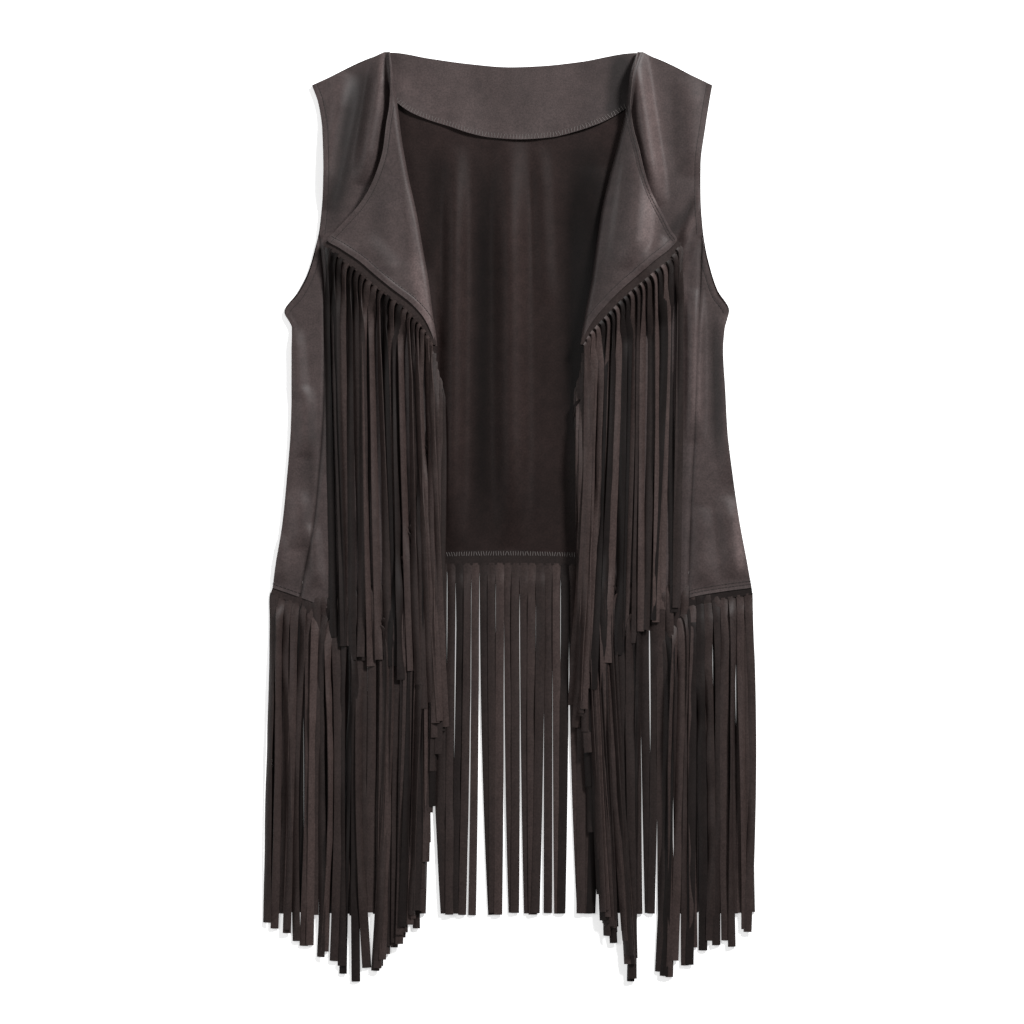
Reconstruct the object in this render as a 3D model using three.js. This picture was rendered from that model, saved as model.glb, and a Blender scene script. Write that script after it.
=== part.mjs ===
// A western vest of brown faux suede, laid open on its back with its two lapels folded out.
// The lapels, front edges, front hems and back hem each carry a strip of cut fringe.
// Sizes are millimetres: +X is the viewer's right, +Y points to the neck and +Z is up from the floor.
import * as THREE from "three";

// Cloth and seams
const CLOTH = 1.2; // thickness of one layer of suede
const SEAM_GAP = 0.3; // room between pieces that meet at a seam or lie on each other
const PRINCESS_GAP = 0.5; // the same across the curved princess seam
const ROLL_RADIUS = 5; // bend of the front where the lapel folds out
const LAPEL_LIFT = 2; // how much further the lapel's outer edge stands off the front
const WIDE_LAPEL = 60; // a narrower stretch of lapel lifts less
const ROLL_SHARE = 0.45; // the part of the lapel's columns that the bend takes

// Fringe
const STRIP_DEPTH = 9; // uncut band that the strands hang from
const STRIP_GAP = 1; // from a hem or front edge to its strip
const STRAND_WIDTH = 5.4; // a strand of the back and front hems
const LAPEL_STRAND_WIDTH = 4; // strands on the slanting lapel hem hang closer together
const EDGE_STRAND_WIDTH = 5; // strands of the front edge lie on edge
const HEM_PITCH = 7.5; // from strand to strand along the hems
const FLOOR_GAP = 0.3; // strands stop just above the floor
const HEM_STRAND_HEIGHT = 3; // middle of a front hem strand, over the back fringe
const EDGE_STRAND_HEIGHT = 5.4; // middle of a front edge strand, over the back
const LAPEL_STRAND_HEIGHT = 10; // middle of a lapel strand, over the front edge strands

// Outlines: the distance of each edge from the middle line, by height up the garment.
const SIDE_EDGE = [
  { y: 406, left: 186, right: 190 },
  { y: 389, left: 180, right: 187 },
  { y: 364, left: 176, right: 183 },
  { y: 331, left: 175, right: 179 },
  { y: 298, left: 176, right: 179 },
  { y: 266, left: 179, right: 181 },
  { y: 246, left: 184, right: 184 },
  { y: 227, left: 190, right: 189 },
  { y: 210, left: 199, right: 195 },
  { y: 192, left: 212, right: 206 },
  { y: 177, left: 205, right: 202 },
  { y: 120, left: 205, right: 202 },
  { y: 82, left: 206, right: 204 },
  { y: 31, left: 210, right: 210 },
  { y: -8, left: 214, right: 216 },
  { y: -44, left: 220, right: 223 },
  { y: -66, left: 223, right: 227 },
];
// The side panel's armhole edge lies a little inside the back's, then follows the side seam.
const SIDE_PANEL_EDGE = [
  { y: 262, left: 181, right: 182 },
  { y: 246, left: 183, right: 184 },
  { y: 227, left: 189, right: 187 },
  { y: 210, left: 196, right: 193 },
  { y: 193, left: 202, right: 198 },
  { y: 177, left: 205, right: 202 },
  { y: 120, left: 205, right: 202 },
  { y: 82, left: 206, right: 204 },
  { y: 31, left: 210, right: 210 },
  { y: -8, left: 214, right: 216 },
  { y: -44, left: 220, right: 223 },
  { y: -66, left: 223, right: 227 },
];
const PRINCESS_SEAM = [
  { y: 265, left: 179, right: 180 },
  { y: 204, left: 174, right: 178 },
  { y: 167, left: 174, right: 176 },
  { y: 110, left: 175, right: 174 },
  { y: 73, left: 177, right: 173 },
  { y: 35, left: 180, right: 171 },
  { y: -12, left: 185, right: 169 },
  { y: -45, left: 192, right: 168 },
  { y: -75, left: 197, right: 167 },
];
// The lapel folds on the roll line, and below the roll the front edge slants out to the hem.
const ROLL_LINE = [
  { y: 437, left: 113, right: 120 },
  { y: 415, left: 110, right: 113 },
  { y: 387, left: 106, right: 110 },
  { y: 355, left: 102, right: 103 },
  { y: 321, left: 96, right: 94 },
  { y: 285, left: 88, right: 86 },
  { y: 251, left: 82, right: 81 },
  { y: 223, left: 77, right: 77 },
  { y: 191, left: 73, right: 71 },
  { y: 161, left: 69, right: 67 },
  { y: 129, left: 70, right: 69 },
  { y: 73, left: 81, right: 74 },
  { y: 16, left: 92, right: 83 },
  { y: -26, left: 102, right: 92 },
  { y: -63, left: 113, right: 102 },
  { y: -87, left: 120, right: 115 },
  { y: -107, left: 127, right: 130 },
];
// The lapel's outer edge from the neck to its point, then its hem from the point to the roll.
const LAPEL_EDGE = [
  { y: 437, left: 113, right: 120 },
  { y: 411, left: 112, right: 115 },
  { y: 388, left: 113, right: 113 },
  { y: 369, left: 116, right: 115 },
  { y: 345, left: 119, right: 121 },
  { y: 327, left: 124, right: 125 },
  { y: 308, left: 132, right: 131 },
  { y: 295, left: 140, right: 137 },
  { y: 282, left: 151, right: 144 },
  { y: 268, left: 164, right: 151 },
  { y: 260, left: 171, right: 156 },
  { y: 252, left: 159, right: 150 },
  { y: 240, left: 141, right: 135 },
  { y: 227, left: 126, right: 120 },
  { y: 214, left: 110, right: 105 },
  { y: 201, left: 93, right: 92 },
  { y: 186, left: 80, right: 79 },
  { y: 171, left: 73, right: 70 },
  { y: 161, left: 70, right: 67 },
];
const LAPEL_POINT_Y = 260;
const ROLL_END_Y = 161; // the roll and the lapel end here
const FRONT_ROW_HEIGHTS = [
  437, 424, 411, 388, 366, 345, 327, 308, 295, 282, 268, 260, 252, 240, 227, 214, 201, 186, 171, 161,
  129, 73, 16, -26, -63, -87, -107,
];
// A row of the front runs from the roll line or front edge (inner) to the armhole or seam (outer).
const FRONT_ROW_SLANT = [
  { y: 437, outer: 406 },
  { y: 366, outer: 345 },
  { y: 260, outer: 250 },
  { y: 161, outer: 155 },
  { y: 16, outer: 20 },
  { y: -63, outer: -44 },
  { y: -107, outer: -75 },
];

// The back's top edge (shoulders and neckline), its hem and its neck facing, from left to right.
const BACK_TOP = [
  { x: -186, y: 406 },
  { x: -113, y: 437 },
  { x: -75, y: 431 },
  { x: -38, y: 426 },
  { x: 0, y: 423 },
  { x: 28, y: 424 },
  { x: 66, y: 428 },
  { x: 120, y: 436.5 },
  { x: 190, y: 406 },
];
const BACK_HEM = [
  { x: -223, y: -66 },
  { x: -169, y: -54 },
  { x: -103, y: -39 },
  { x: -63, y: -33 },
  { x: 0, y: -32 },
  { x: 54, y: -33 },
  { x: 103, y: -40 },
  { x: 169, y: -51 },
  { x: 227, y: -66 },
];
const FACING_HEM = [
  { x: -113, y: 395 },
  { x: -94, y: 381 },
  { x: -75, y: 373 },
  { x: -38, y: 361 },
  { x: 8, y: 355 },
  { x: 38, y: 357 },
  { x: 60, y: 362 },
  { x: 96, y: 376 },
  { x: 120, y: 392 },
];
// The front hems, as distances from the middle line.
const FRONT_HEM = {
  left: [
    { x: 127, y: -107 },
    { x: 197, y: -75 },
    { x: 223, y: -66 },
  ],
  right: [
    { x: 130, y: -107 },
    { x: 167, y: -75 },
    { x: 227, y: -66 },
  ],
};

// Soft folds: ridges along straight lines, with the half width and the height of each.
const BACK_FOLDS = [
  { fromX: -34, fromY: 300, toX: -37, toY: -20, width: 20, height: 4 },
  { fromX: 8, fromY: 310, toX: 8, toY: -20, width: 26, height: 5 },
];
const FRONT_FOLDS = {
  left: [
    { fromX: -158, fromY: 395, toX: -166, toY: 300, width: 16, height: 3 },
    { fromX: -120, fromY: 400, toX: -142, toY: 300, width: 15, height: 4 },
    { fromX: -150, fromY: 200, toX: -160, toY: 60, width: 22, height: 3 },
    { fromX: -96, fromY: 100, toX: -142, toY: -84, width: 26, height: 4 },
    { fromX: -196, fromY: 90, toX: -206, toY: -40, width: 14, height: 3 },
  ],
  right: [
    { fromX: 172, fromY: 385, toX: 150, toY: 300, width: 18, height: 4 },
    { fromX: 176, fromY: 245, toX: 158, toY: 215, width: 12, height: 3 },
    { fromX: 175, fromY: 180, toX: 172, toY: 80, width: 15, height: 4 },
    { fromX: 88, fromY: 100, toX: 134, toY: -84, width: 26, height: 4 },
    { fromX: 196, fromY: 70, toX: 205, toY: -40, width: 15, height: 3 },
  ],
};

// Where the strands of each fringe end, by the distance of their root from the middle line.
const HEM_STRAND_ENDS = {
  left: [
    { root: 127, x: 128, y: -433 },
    { root: 144, x: 149, y: -431 },
    { root: 169, x: 174, y: -411 },
    { root: 197, x: 203, y: -391 },
    { root: 223, x: 227, y: -376 },
  ],
  right: [
    { root: 130, x: 128, y: -431 },
    { root: 150, x: 148, y: -425 },
    { root: 167, x: 167, y: -415 },
    { root: 197, x: 199, y: -401 },
    { root: 227, x: 228, y: -388 },
  ],
};
const EDGE_STRAND_ENDS = {
  left: [
    { y: 150, end: -184 },
    { y: 60, end: -250 },
    { y: -40, end: -372 },
    { y: -104, end: -424 },
  ],
  right: [
    { y: 150, end: -190 },
    { y: 60, end: -258 },
    { y: -40, end: -378 },
    { y: -104, end: -437 },
  ],
};
const LAPEL_STRAND_ENDS = {
  left: [
    { root: 77, x: 64, y: -196 },
    { root: 90, x: 80, y: -172 },
    { root: 105, x: 97, y: -142 },
    { root: 135, x: 127, y: -132 },
    { root: 166, x: 160, y: -112 },
  ],
  right: [
    { root: 72, x: 62, y: -190 },
    { root: 90, x: 84, y: -145 },
    { root: 110, x: 106, y: -122 },
    { root: 135, x: 136, y: -100 },
    { root: 153, x: 152, y: -84 },
  ],
};
const BACK_STRAND_END_Y = -372;
// A front edge strand's turn: how far it has gone in and down, and how much its width has tipped up.
const EDGE_STRIP_DEPTH = 4.5;
const EDGE_TURN = [
  { inward: 7.5, down: 4, tipped: 0.5 },
  { inward: 9, down: 13, tipped: 1 },
];
const EDGE_STRANDS = 20;
const LAPEL_STRANDS = 16;

const SIDES = { left: -1, right: 1 };
const SUEDE = { color: 0x564c4b, roughness: 0.85, metalness: 0 };
const SUEDE_INSIDE = { color: 0x3a3130, roughness: 0.95, metalness: 0 };
const FRINGE_SUEDE = { color: 0x342e2c, roughness: 0.9, metalness: 0 };

const mix = (a, b, share) => a + (b - a) * share;
const clamp = (value, low, high) => Math.min(high, Math.max(low, value));
const steps = (count) => Array.from({ length: count + 1 }, (_, i) => i / count);

// A value from a table at a place between its rows; the rows may rise or fall.
function lookUp(table, key, column, place) {
  const rising = table[table.length - 1][key] > table[0][key];
  const rows = rising ? table : [...table].reverse();
  const held = clamp(place, rows[0][key], rows[rows.length - 1][key]);
  const above = Math.max(1, rows.findIndex((row) => row[key] >= held));
  const low = rows[above - 1];
  const high = rows[above];
  return mix(low[column], high[column], (held - low[key]) / (high[key] - low[key]));
}

// The outer end of a row of the front.
const outerHeight = (innerY) => lookUp(FRONT_ROW_SLANT, "y", "outer", innerY);

// How far the soft folds lift the cloth at a place.
function foldLift(folds, x, y) {
  let lift = 0;
  for (const fold of folds) {
    const alongX = fold.toX - fold.fromX;
    const alongY = fold.toY - fold.fromY;
    const share = ((x - fold.fromX) * alongX + (y - fold.fromY) * alongY) / (alongX ** 2 + alongY ** 2);
    const held = clamp(share, 0, 1);
    const away = Math.hypot(x - fold.fromX - held * alongX, y - fold.fromY - held * alongY);
    lift += fold.height * Math.max(0, 1 - (away / fold.width) ** 2) ** 2;
  }
  return lift;
}

// The middle of the cloth's thickness in each layer.
const backHeight = (x, y) => CLOTH / 2 + foldLift(BACK_FOLDS, x, y);
const facingHeight = (x, y) => backHeight(x, y) + CLOTH + SEAM_GAP;
const frontHeight = (side, x, y) =>
  backHeight(x, y) + CLOTH + SEAM_GAP + foldLift(FRONT_FOLDS[side], x, y);

// A closed wall, one cloth thick, round a grid of points. A cell is cloth where isCloth says so.
function clothSolid(grid, isCloth = () => true) {
  const lastRow = grid.length - 1;
  const lastColumn = grid[0].length - 1;
  const kept = (r, c) => r >= 0 && c >= 0 && r < lastRow && c < lastColumn && isCloth(r, c);
  const normals = grid.map((row) => row.map(() => new THREE.Vector3()));
  const cells = [];
  for (let r = 0; r < lastRow; r++) {
    for (let c = 0; c < lastColumn; c++) {
      if (!kept(r, c)) continue;
      cells.push([r, c]);
      const across = new THREE.Vector3().subVectors(grid[r + 1][c], grid[r][c + 1]);
      const down = new THREE.Vector3().subVectors(grid[r + 1][c + 1], grid[r][c]);
      const normal = across.cross(down).normalize();
      for (const [i, j] of [[r, c], [r, c + 1], [r + 1, c], [r + 1, c + 1]]) normals[i][j].add(normal);
    }
  }
  const positions = [];
  const corner = new Map();
  const vertex = (r, c, face) => {
    const name = `${r} ${c} ${face}`;
    if (!corner.has(name)) {
      const offset = normals[r][c].clone().normalize().multiplyScalar((face * CLOTH) / 2);
      corner.set(name, positions.length / 3);
      positions.push(...grid[r][c].clone().add(offset));
    }
    return corner.get(name);
  };
  const triangles = [];
  const quad = (a, b, c, d) => triangles.push(a, b, c, a, c, d);
  for (const [r, c] of cells) {
    const top = [[r, c], [r + 1, c], [r + 1, c + 1], [r, c + 1]].map(([i, j]) => vertex(i, j, 1));
    const under = [[r, c], [r + 1, c], [r + 1, c + 1], [r, c + 1]].map(([i, j]) => vertex(i, j, -1));
    quad(top[0], top[1], top[2], top[3]);
    triangles.push(under[0], under[2], under[1], under[0], under[3], under[2]);
    const wall = (from, to) => quad(top[from], under[from], under[to], top[to]);
    if (!kept(r, c - 1)) wall(0, 1);
    if (!kept(r + 1, c)) wall(1, 2);
    if (!kept(r, c + 1)) wall(2, 3);
    if (!kept(r - 1, c)) wall(3, 0);
  }
  return outward(positions, triangles);
}

// A geometry whose faces point out: a grid that runs the other way makes them point in.
function outward(positions, triangles) {
  const at = (i) => new THREE.Vector3().fromArray(positions, 3 * triangles[i]);
  let volume = 0;
  for (let i = 0; i < triangles.length; i += 3) volume += at(i).dot(at(i + 1).cross(at(i + 2)));
  if (volume < 0) triangles.reverse();
  const geometry = new THREE.BufferGeometry();
  geometry.setAttribute("position", new THREE.Float32BufferAttribute(positions, 3));
  geometry.setIndex(triangles);
  geometry.computeVertexNormals();
  return geometry;
}

function piece(name, geometry, finish) {
  const mesh = new THREE.Mesh(geometry, new THREE.MeshStandardMaterial(finish));
  mesh.name = name;
  return mesh;
}

// The back, in one piece from the shoulders to the hem.
function backPanel() {
  const columns = [
    -1, -0.8, -0.61, -0.45, -0.32, -0.25, -0.18, -0.11, -0.05, 0.04, 0.12, 0.2, 0.32, 0.45, 0.63, 0.8, 1,
  ];
  const grid = steps(14).map((down) =>
    columns.map((column) => {
      const outerY = mix(BACK_TOP[0].y, BACK_HEM[0].y, down);
      const x = column * lookUp(SIDE_EDGE, "y", column < 0 ? "left" : "right", outerY);
      const y = mix(lookUp(BACK_TOP, "x", "y", x), lookUp(BACK_HEM, "x", "y", x), down);
      return new THREE.Vector3(x, y, backHeight(x, y));
    }),
  );
  return piece("back", clothSolid(grid), SUEDE_INSIDE);
}

// The facing inside the back neck lies on the back, between the two rolls.
function neckFacing() {
  const grid = steps(3).map((down) =>
    steps(12).map((column) => {
      const atNeck = mix(-BACK_TOP[7].x, BACK_TOP[7].x, column);
      const y = mix(lookUp(BACK_TOP, "x", "y", atNeck), lookUp(FACING_HEM, "x", "y", atNeck), down);
      const leftX = -lookUp(ROLL_LINE, "y", "left", y);
      const rightX = lookUp(ROLL_LINE, "y", "right", y);
      const x = mix(leftX, rightX, column);
      return new THREE.Vector3(x, y, facingHeight(x, y));
    }),
  );
  return piece("neck_facing", clothSolid(grid), SUEDE);
}

// The side panel between the princess seam and the side seam, in the same rows as the front.
function sidePanel(side) {
  const sign = SIDES[side];
  const seamEnd = PRINCESS_SEAM[PRINCESS_SEAM.length - 1].y;
  const edgeEnd = SIDE_PANEL_EDGE[SIDE_PANEL_EDGE.length - 1].y;
  const rows = FRONT_ROW_HEIGHTS.map(outerHeight).filter((y) => y < SIDE_PANEL_EDGE[0].y);
  const grid = rows.map((seamY) =>
    steps(3).map((across) => {
      const edgeY = seamY > 0 ? seamY : (seamY * edgeEnd) / seamEnd;
      const inner = lookUp(PRINCESS_SEAM, "y", side, seamY) + PRINCESS_GAP;
      const outer = lookUp(SIDE_PANEL_EDGE, "y", side, edgeY);
      const x = sign * mix(inner, outer, across);
      const y = mix(seamY, edgeY, across);
      return new THREE.Vector3(x, y, frontHeight(side, x, y));
    }),
  );
  return piece(`side_${side}`, clothSolid(grid), SUEDE);
}

// The lapel's width outside the roll line at a height.
const lapelWidth = (side, y) =>
  Math.max(0, lookUp(LAPEL_EDGE, "y", side, y) - lookUp(ROLL_LINE, "y", side, y));

// How far the lapel stands off the front: it lifts a little more towards its outer edge.
const lapelStand = (out, width) => 2 * ROLL_RADIUS + (LAPEL_LIFT * out) / Math.max(width, WIDE_LAPEL);

// A place on the folded front: the bend of the roll first, then the lapel, for a share of the way round.
function lapelPlace(side, y, share) {
  const sign = SIDES[side];
  const roll = lookUp(ROLL_LINE, "y", side, y);
  const width = lapelWidth(side, y);
  const bend = width < ROLL_RADIUS ? Math.PI - Math.asin(1 - width / ROLL_RADIUS) : Math.PI;
  const onRoll = ROLL_RADIUS * bend;
  const whole = onRoll + Math.max(0, width - ROLL_RADIUS);
  const rollEnd = Math.min(onRoll, whole * ROLL_SHARE);
  const travelled =
    share < ROLL_SHARE
      ? (rollEnd * share) / ROLL_SHARE
      : mix(rollEnd, whole, (share - ROLL_SHARE) / (1 - ROLL_SHARE));
  const foot = sign * (roll + ROLL_RADIUS);
  const base = frontHeight(side, foot, y);
  if (travelled <= onRoll) {
    const angle = travelled / ROLL_RADIUS;
    const x = sign * (roll + ROLL_RADIUS * (1 - Math.sin(angle)));
    return new THREE.Vector3(x, y, base + ROLL_RADIUS * (1 - Math.cos(angle)));
  }
  const out = ROLL_RADIUS + travelled - onRoll;
  const x = sign * (roll + out);
  const underneath = Math.max(base, frontHeight(side, x, y));
  return new THREE.Vector3(x, y, underneath + lapelStand(out - ROLL_RADIUS, width));
}

// A front with its lapel: across the panel, round the roll and out over the panel again.
function frontPanel(side) {
  const sign = SIDES[side];
  const panelColumns = steps(6);
  const lapelColumns = steps(11).slice(1);
  const grid = FRONT_ROW_HEIGHTS.map((innerY) => {
    const outerY = outerHeight(innerY);
    const edge = outerY >= PRINCESS_SEAM[0].y ? SIDE_EDGE : PRINCESS_SEAM;
    const outer = lookUp(edge, "y", side, outerY);
    const hasLapel = innerY >= ROLL_END_Y;
    const inner = lookUp(ROLL_LINE, "y", side, innerY) + (hasLapel ? ROLL_RADIUS : 0);
    const panel = panelColumns.map((column) => {
      const x = sign * mix(outer, inner, column);
      const y = mix(outerY, innerY, column);
      return new THREE.Vector3(x, y, frontHeight(side, x, y));
    });
    const lapel = lapelColumns.map((share) =>
      hasLapel ? lapelPlace(side, innerY, share) : panel[panel.length - 1],
    );
    return [...panel, ...lapel];
  });
  const lastLapelRow = FRONT_ROW_HEIGHTS.indexOf(ROLL_END_Y);
  const isCloth = (r, c) => c < panelColumns.length - 1 || r < lastLapelRow;
  return piece(`front_${side}`, clothSolid(grid, isCloth), SUEDE);
}

// A fringe: strands side by side, joined only by the strip that their first two pairs of points make.
function fringe(name, strands) {
  const grid = strands[0].map((_, r) => strands.flatMap((strand) => strand[r]));
  const isCloth = (r, c) => r === 0 || c % 2 === 0;
  return piece(name, clothSolid(grid, isCloth), FRINGE_SUEDE);
}

// The points of a strand that hangs down the garment from a hem, two for each level.
// The uneven share of each strand's length is a fixed wave, so that the ends aren't in line.
function hangingStrand({ number, rootX, endX, endY, width, hemY, stripHeight, lowHeight, settleShare, levels }) {
  const stripLevels = [STRIP_GAP, STRIP_DEPTH];
  const ends = [-width / 2, width / 2];
  const strip = stripLevels.map((drop) =>
    ends.map((half) => {
      const x = rootX + half;
      const y = hemY(x) - drop;
      return new THREE.Vector3(x, y, stripHeight(x, hemY(x)));
    }),
  );
  const uneven = 4 * Math.sin(2.4 * number) + 3 * Math.sin(5.1 * number + 1);
  const hang = steps(levels).slice(1).map((share) =>
    ends.map((half) => {
      const x = mix(rootX, endX, share) + half;
      const y = mix(hemY(rootX + half) - STRIP_DEPTH, endY + uneven, share);
      const settle = Math.min(1, share / settleShare);
      return new THREE.Vector3(x, y, mix(stripHeight(rootX, hemY(rootX)), lowHeight, settle));
    }),
  );
  return [...strip, ...hang];
}

function backFringe() {
  const first = BACK_HEM[0].x;
  const last = BACK_HEM[BACK_HEM.length - 1].x;
  const count = Math.floor((last - first) / HEM_PITCH);
  const pitch = (last - first) / count;
  const strands = Array.from({ length: count }, (_, number) => {
    const rootX = first + pitch * (number + 0.5);
    return hangingStrand({
      number,
      rootX,
      endX: rootX + 0.4 * Math.sin(1.7 * number),
      endY: BACK_STRAND_END_Y,
      width: STRAND_WIDTH,
      hemY: (x) => lookUp(BACK_HEM, "x", "y", x),
      stripHeight: backHeight,
      lowHeight: FLOOR_GAP + CLOTH / 2,
      settleShare: 1,
      levels: 3,
    });
  });
  return fringe("fringe_back", strands);
}

function hemFringe(side) {
  const sign = SIDES[side];
  const hem = FRONT_HEM[side];
  const first = hem[0].x;
  const last = hem[hem.length - 1].x;
  const count = Math.floor((last - first) / HEM_PITCH);
  const pitch = (last - first) / count;
  const strands = Array.from({ length: count }, (_, number) => {
    const root = first + pitch * (number + 0.5);
    const sway = 0.4 * Math.sin(2.9 * number);
    return hangingStrand({
      number,
      rootX: sign * root,
      endX: sign * (lookUp(HEM_STRAND_ENDS[side], "root", "x", root) + sway),
      endY: lookUp(HEM_STRAND_ENDS[side], "root", "y", root),
      width: STRAND_WIDTH,
      hemY: (x) => lookUp(hem, "x", "y", Math.abs(x)),
      stripHeight: (x, y) => frontHeight(side, x, y),
      lowHeight: HEM_STRAND_HEIGHT,
      settleShare: 0.25,
      levels: 4,
    });
  });
  return fringe(`fringe_hem_${side}`, strands);
}

function lapelFringe(side) {
  const sign = SIDES[side];
  const hem = LAPEL_EDGE.filter((row) => row.y <= LAPEL_POINT_Y);
  const hemY = (x) => lookUp(hem, side, "y", Math.abs(x));
  const ends = LAPEL_STRAND_ENDS[side];
  const first = ends[0].root;
  const last = ends[ends.length - 1].root;
  const pitch = (last - first) / (LAPEL_STRANDS - 1);
  const stripHeight = (x, y) => {
    const out = Math.abs(x) - lookUp(ROLL_LINE, "y", side, y) - ROLL_RADIUS;
    return frontHeight(side, x, y) + lapelStand(Math.max(0, out), lapelWidth(side, y));
  };
  const strands = Array.from({ length: LAPEL_STRANDS }, (_, number) => {
    const root = first + pitch * number;
    return hangingStrand({
      number,
      rootX: sign * root,
      endX: sign * lookUp(ends, "root", "x", root),
      endY: lookUp(ends, "root", "y", root),
      width: LAPEL_STRAND_WIDTH,
      hemY,
      stripHeight,
      lowHeight: LAPEL_STRAND_HEIGHT,
      settleShare: 0.25,
      levels: 4,
    });
  });
  return fringe(`fringe_lapel_${side}`, strands);
}

// The front edge's strands leave it sideways, turn down the garment and lie on edge, one beside the next.
function edgeFringe(side) {
  const sign = SIDES[side];
  const ends = EDGE_STRAND_ENDS[side];
  const top = ends[0].y;
  const bottom = ends[ends.length - 1].y;
  const pitch = (top - bottom) / EDGE_STRANDS;
  const edgePoint = (y, inward) => {
    const x = sign * (lookUp(ROLL_LINE, "y", side, y) - STRIP_GAP - inward);
    return new THREE.Vector3(x, y, frontHeight(side, x, y));
  };
  const strands = Array.from({ length: EDGE_STRANDS }, (_, number) => {
    const rootY = top - pitch * (number + 0.5);
    const halves = [1, -1].map((half) => (half * EDGE_STRAND_WIDTH) / 2);
    const strip = [0, EDGE_STRIP_DEPTH].map((inward) =>
      halves.map((half) => edgePoint(rootY + half, inward)),
    );
    const rootHeight = edgePoint(rootY, 0).z;
    const bend = EDGE_TURN.map(({ inward, down, tipped }) =>
      halves.map((half) => {
        const middle = edgePoint(rootY, inward);
        const height = mix(rootHeight, EDGE_STRAND_HEIGHT, tipped);
        const tilt = (tipped * Math.PI) / 2;
        return new THREE.Vector3(middle.x, rootY - down + half * Math.cos(tilt), height + half * Math.sin(tilt));
      }),
    );
    const hangX = bend[1][0].x;
    const hangY = rootY - EDGE_TURN[1].down;
    const uneven = 5 * Math.sin(2.1 * number) + 4 * Math.sin(4.7 * number);
    const endY = lookUp(ends, "y", "end", rootY) + uneven;
    const hang = steps(2).slice(1).map((share) =>
      halves.map((half) => new THREE.Vector3(hangX, mix(hangY, endY, share), EDGE_STRAND_HEIGHT + half)),
    );
    return [...strip, ...bend, ...hang];
  });
  return fringe(`fringe_edge_${side}`, strands);
}

const vest = new THREE.Group();
vest.add(backPanel(), neckFacing(), backFringe());
for (const side of Object.keys(SIDES)) {
  vest.add(frontPanel(side), sidePanel(side), hemFringe(side), edgeFringe(side), lapelFringe(side));
}

export default vest;
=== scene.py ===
# %% [markdown]
# # A fringed western vest in faux suede
# The vest lies on its back with its fronts open and both lapels folded out, and a camera looks
# straight down at it. Each cloth piece is a thin shell on the form of its solid, with its creases
# placed one by one. Each strand of fringe is a ribbon swept by Geometry Nodes along a path that is
# laid over everything under it. All tables are in millimetres, seen from above: +X is the
# viewer's right, +Y points to the neck and +Z is up.

# %% Load the frame
import math
import bpy
import numpy as np
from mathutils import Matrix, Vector
from mathutils.bvhtree import BVHTree


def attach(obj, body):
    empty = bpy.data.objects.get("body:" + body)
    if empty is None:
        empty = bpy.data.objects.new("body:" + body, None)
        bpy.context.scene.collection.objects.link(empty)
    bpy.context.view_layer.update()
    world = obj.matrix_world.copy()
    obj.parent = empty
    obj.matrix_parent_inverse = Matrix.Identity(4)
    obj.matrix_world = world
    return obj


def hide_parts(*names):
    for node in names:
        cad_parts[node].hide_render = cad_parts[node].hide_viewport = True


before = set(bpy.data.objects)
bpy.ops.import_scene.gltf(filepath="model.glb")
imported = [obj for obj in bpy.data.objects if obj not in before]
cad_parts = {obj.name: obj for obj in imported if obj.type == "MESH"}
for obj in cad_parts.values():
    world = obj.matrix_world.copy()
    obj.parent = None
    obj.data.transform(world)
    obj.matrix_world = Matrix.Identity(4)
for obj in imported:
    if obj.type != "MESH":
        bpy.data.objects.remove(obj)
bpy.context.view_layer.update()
MM = 0.001

# %% [markdown]
# ## The cut of the vest
# A pattern maker draws each edge as a smooth curve through a few measured points. The tables
# below hold those points: how far an edge lies from the middle line at each height. A curve that
# never swings past its points keeps the corners where they are measured; a plain spline would
# overshoot beside them.

# %% Measured edges
SIDE_EDGE = {
    "y": [406, 389, 364, 331, 298, 266, 246, 227, 210, 192, 177, 157, 120, 82, 31, -8, -44, -66],
    "left": [186, 180, 176, 175, 176, 179, 184, 190, 199, 212, 205, 205, 205, 206, 210, 214, 220, 223],
    "right": [190, 187, 183, 179, 179, 181, 184, 189, 195, 206, 202, 200, 202, 204, 210, 216, 223, 227],
}
SIDE_PANEL_EDGE = {
    "y": [265, 246, 227, 210, 193, 177],
    "left": [179.5, 183.5, 189.5, 198.5, 211.3, 204.6],
    "right": [180.8, 183.7, 188.6, 194.6, 205.3, 201.6],
}
for column, values in SIDE_EDGE.items():
    SIDE_PANEL_EDGE[column] += values[11:]  # below the armhole it is the same edge
PRINCESS_SEAM = {
    "y": [265, 204, 167, 110, 73, 35, -12, -45, -75],
    "left": [179, 174, 174, 175, 177, 180, 185, 192, 197],
    "right": [180, 178, 176, 174, 173, 171, 169, 168, 167],
}
ROLL_LINE = {
    "y": [437, 415, 387, 355, 321, 285, 251, 223, 191, 161, 129, 73, 16, -26, -63, -87, -107],
    "left": [113, 110, 106, 102, 96, 88, 82, 77, 73, 69, 70, 81, 92, 102, 113, 120, 127],
    "right": [120, 113, 110, 103, 94, 86, 81, 77, 71, 67, 69, 74, 83, 92, 102, 115, 130],
}
LAPEL_EDGE = {
    "y": [437, 411, 388, 369, 345, 327, 308, 295, 282, 268, 260, 252, 240, 227, 214, 201, 186, 171, 161],
    "left": [113, 112, 113, 116, 119, 124, 132, 140, 151, 164, 171, 159, 141, 126, 110, 93, 80, 73, 70],
    "right": [120, 115, 113, 115, 121, 125, 131, 137, 144, 151, 156, 150, 135, 120, 105, 92, 79, 70, 67],
}
BACK_TOP = {
    "x": [-186, -114, -112, -75, -38, 0, 28, 66, 119, 121, 190],
    "y": [406, 436.6, 436.8, 431, 426, 423, 424, 428, 436.4, 436.2, 406],
}
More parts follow.
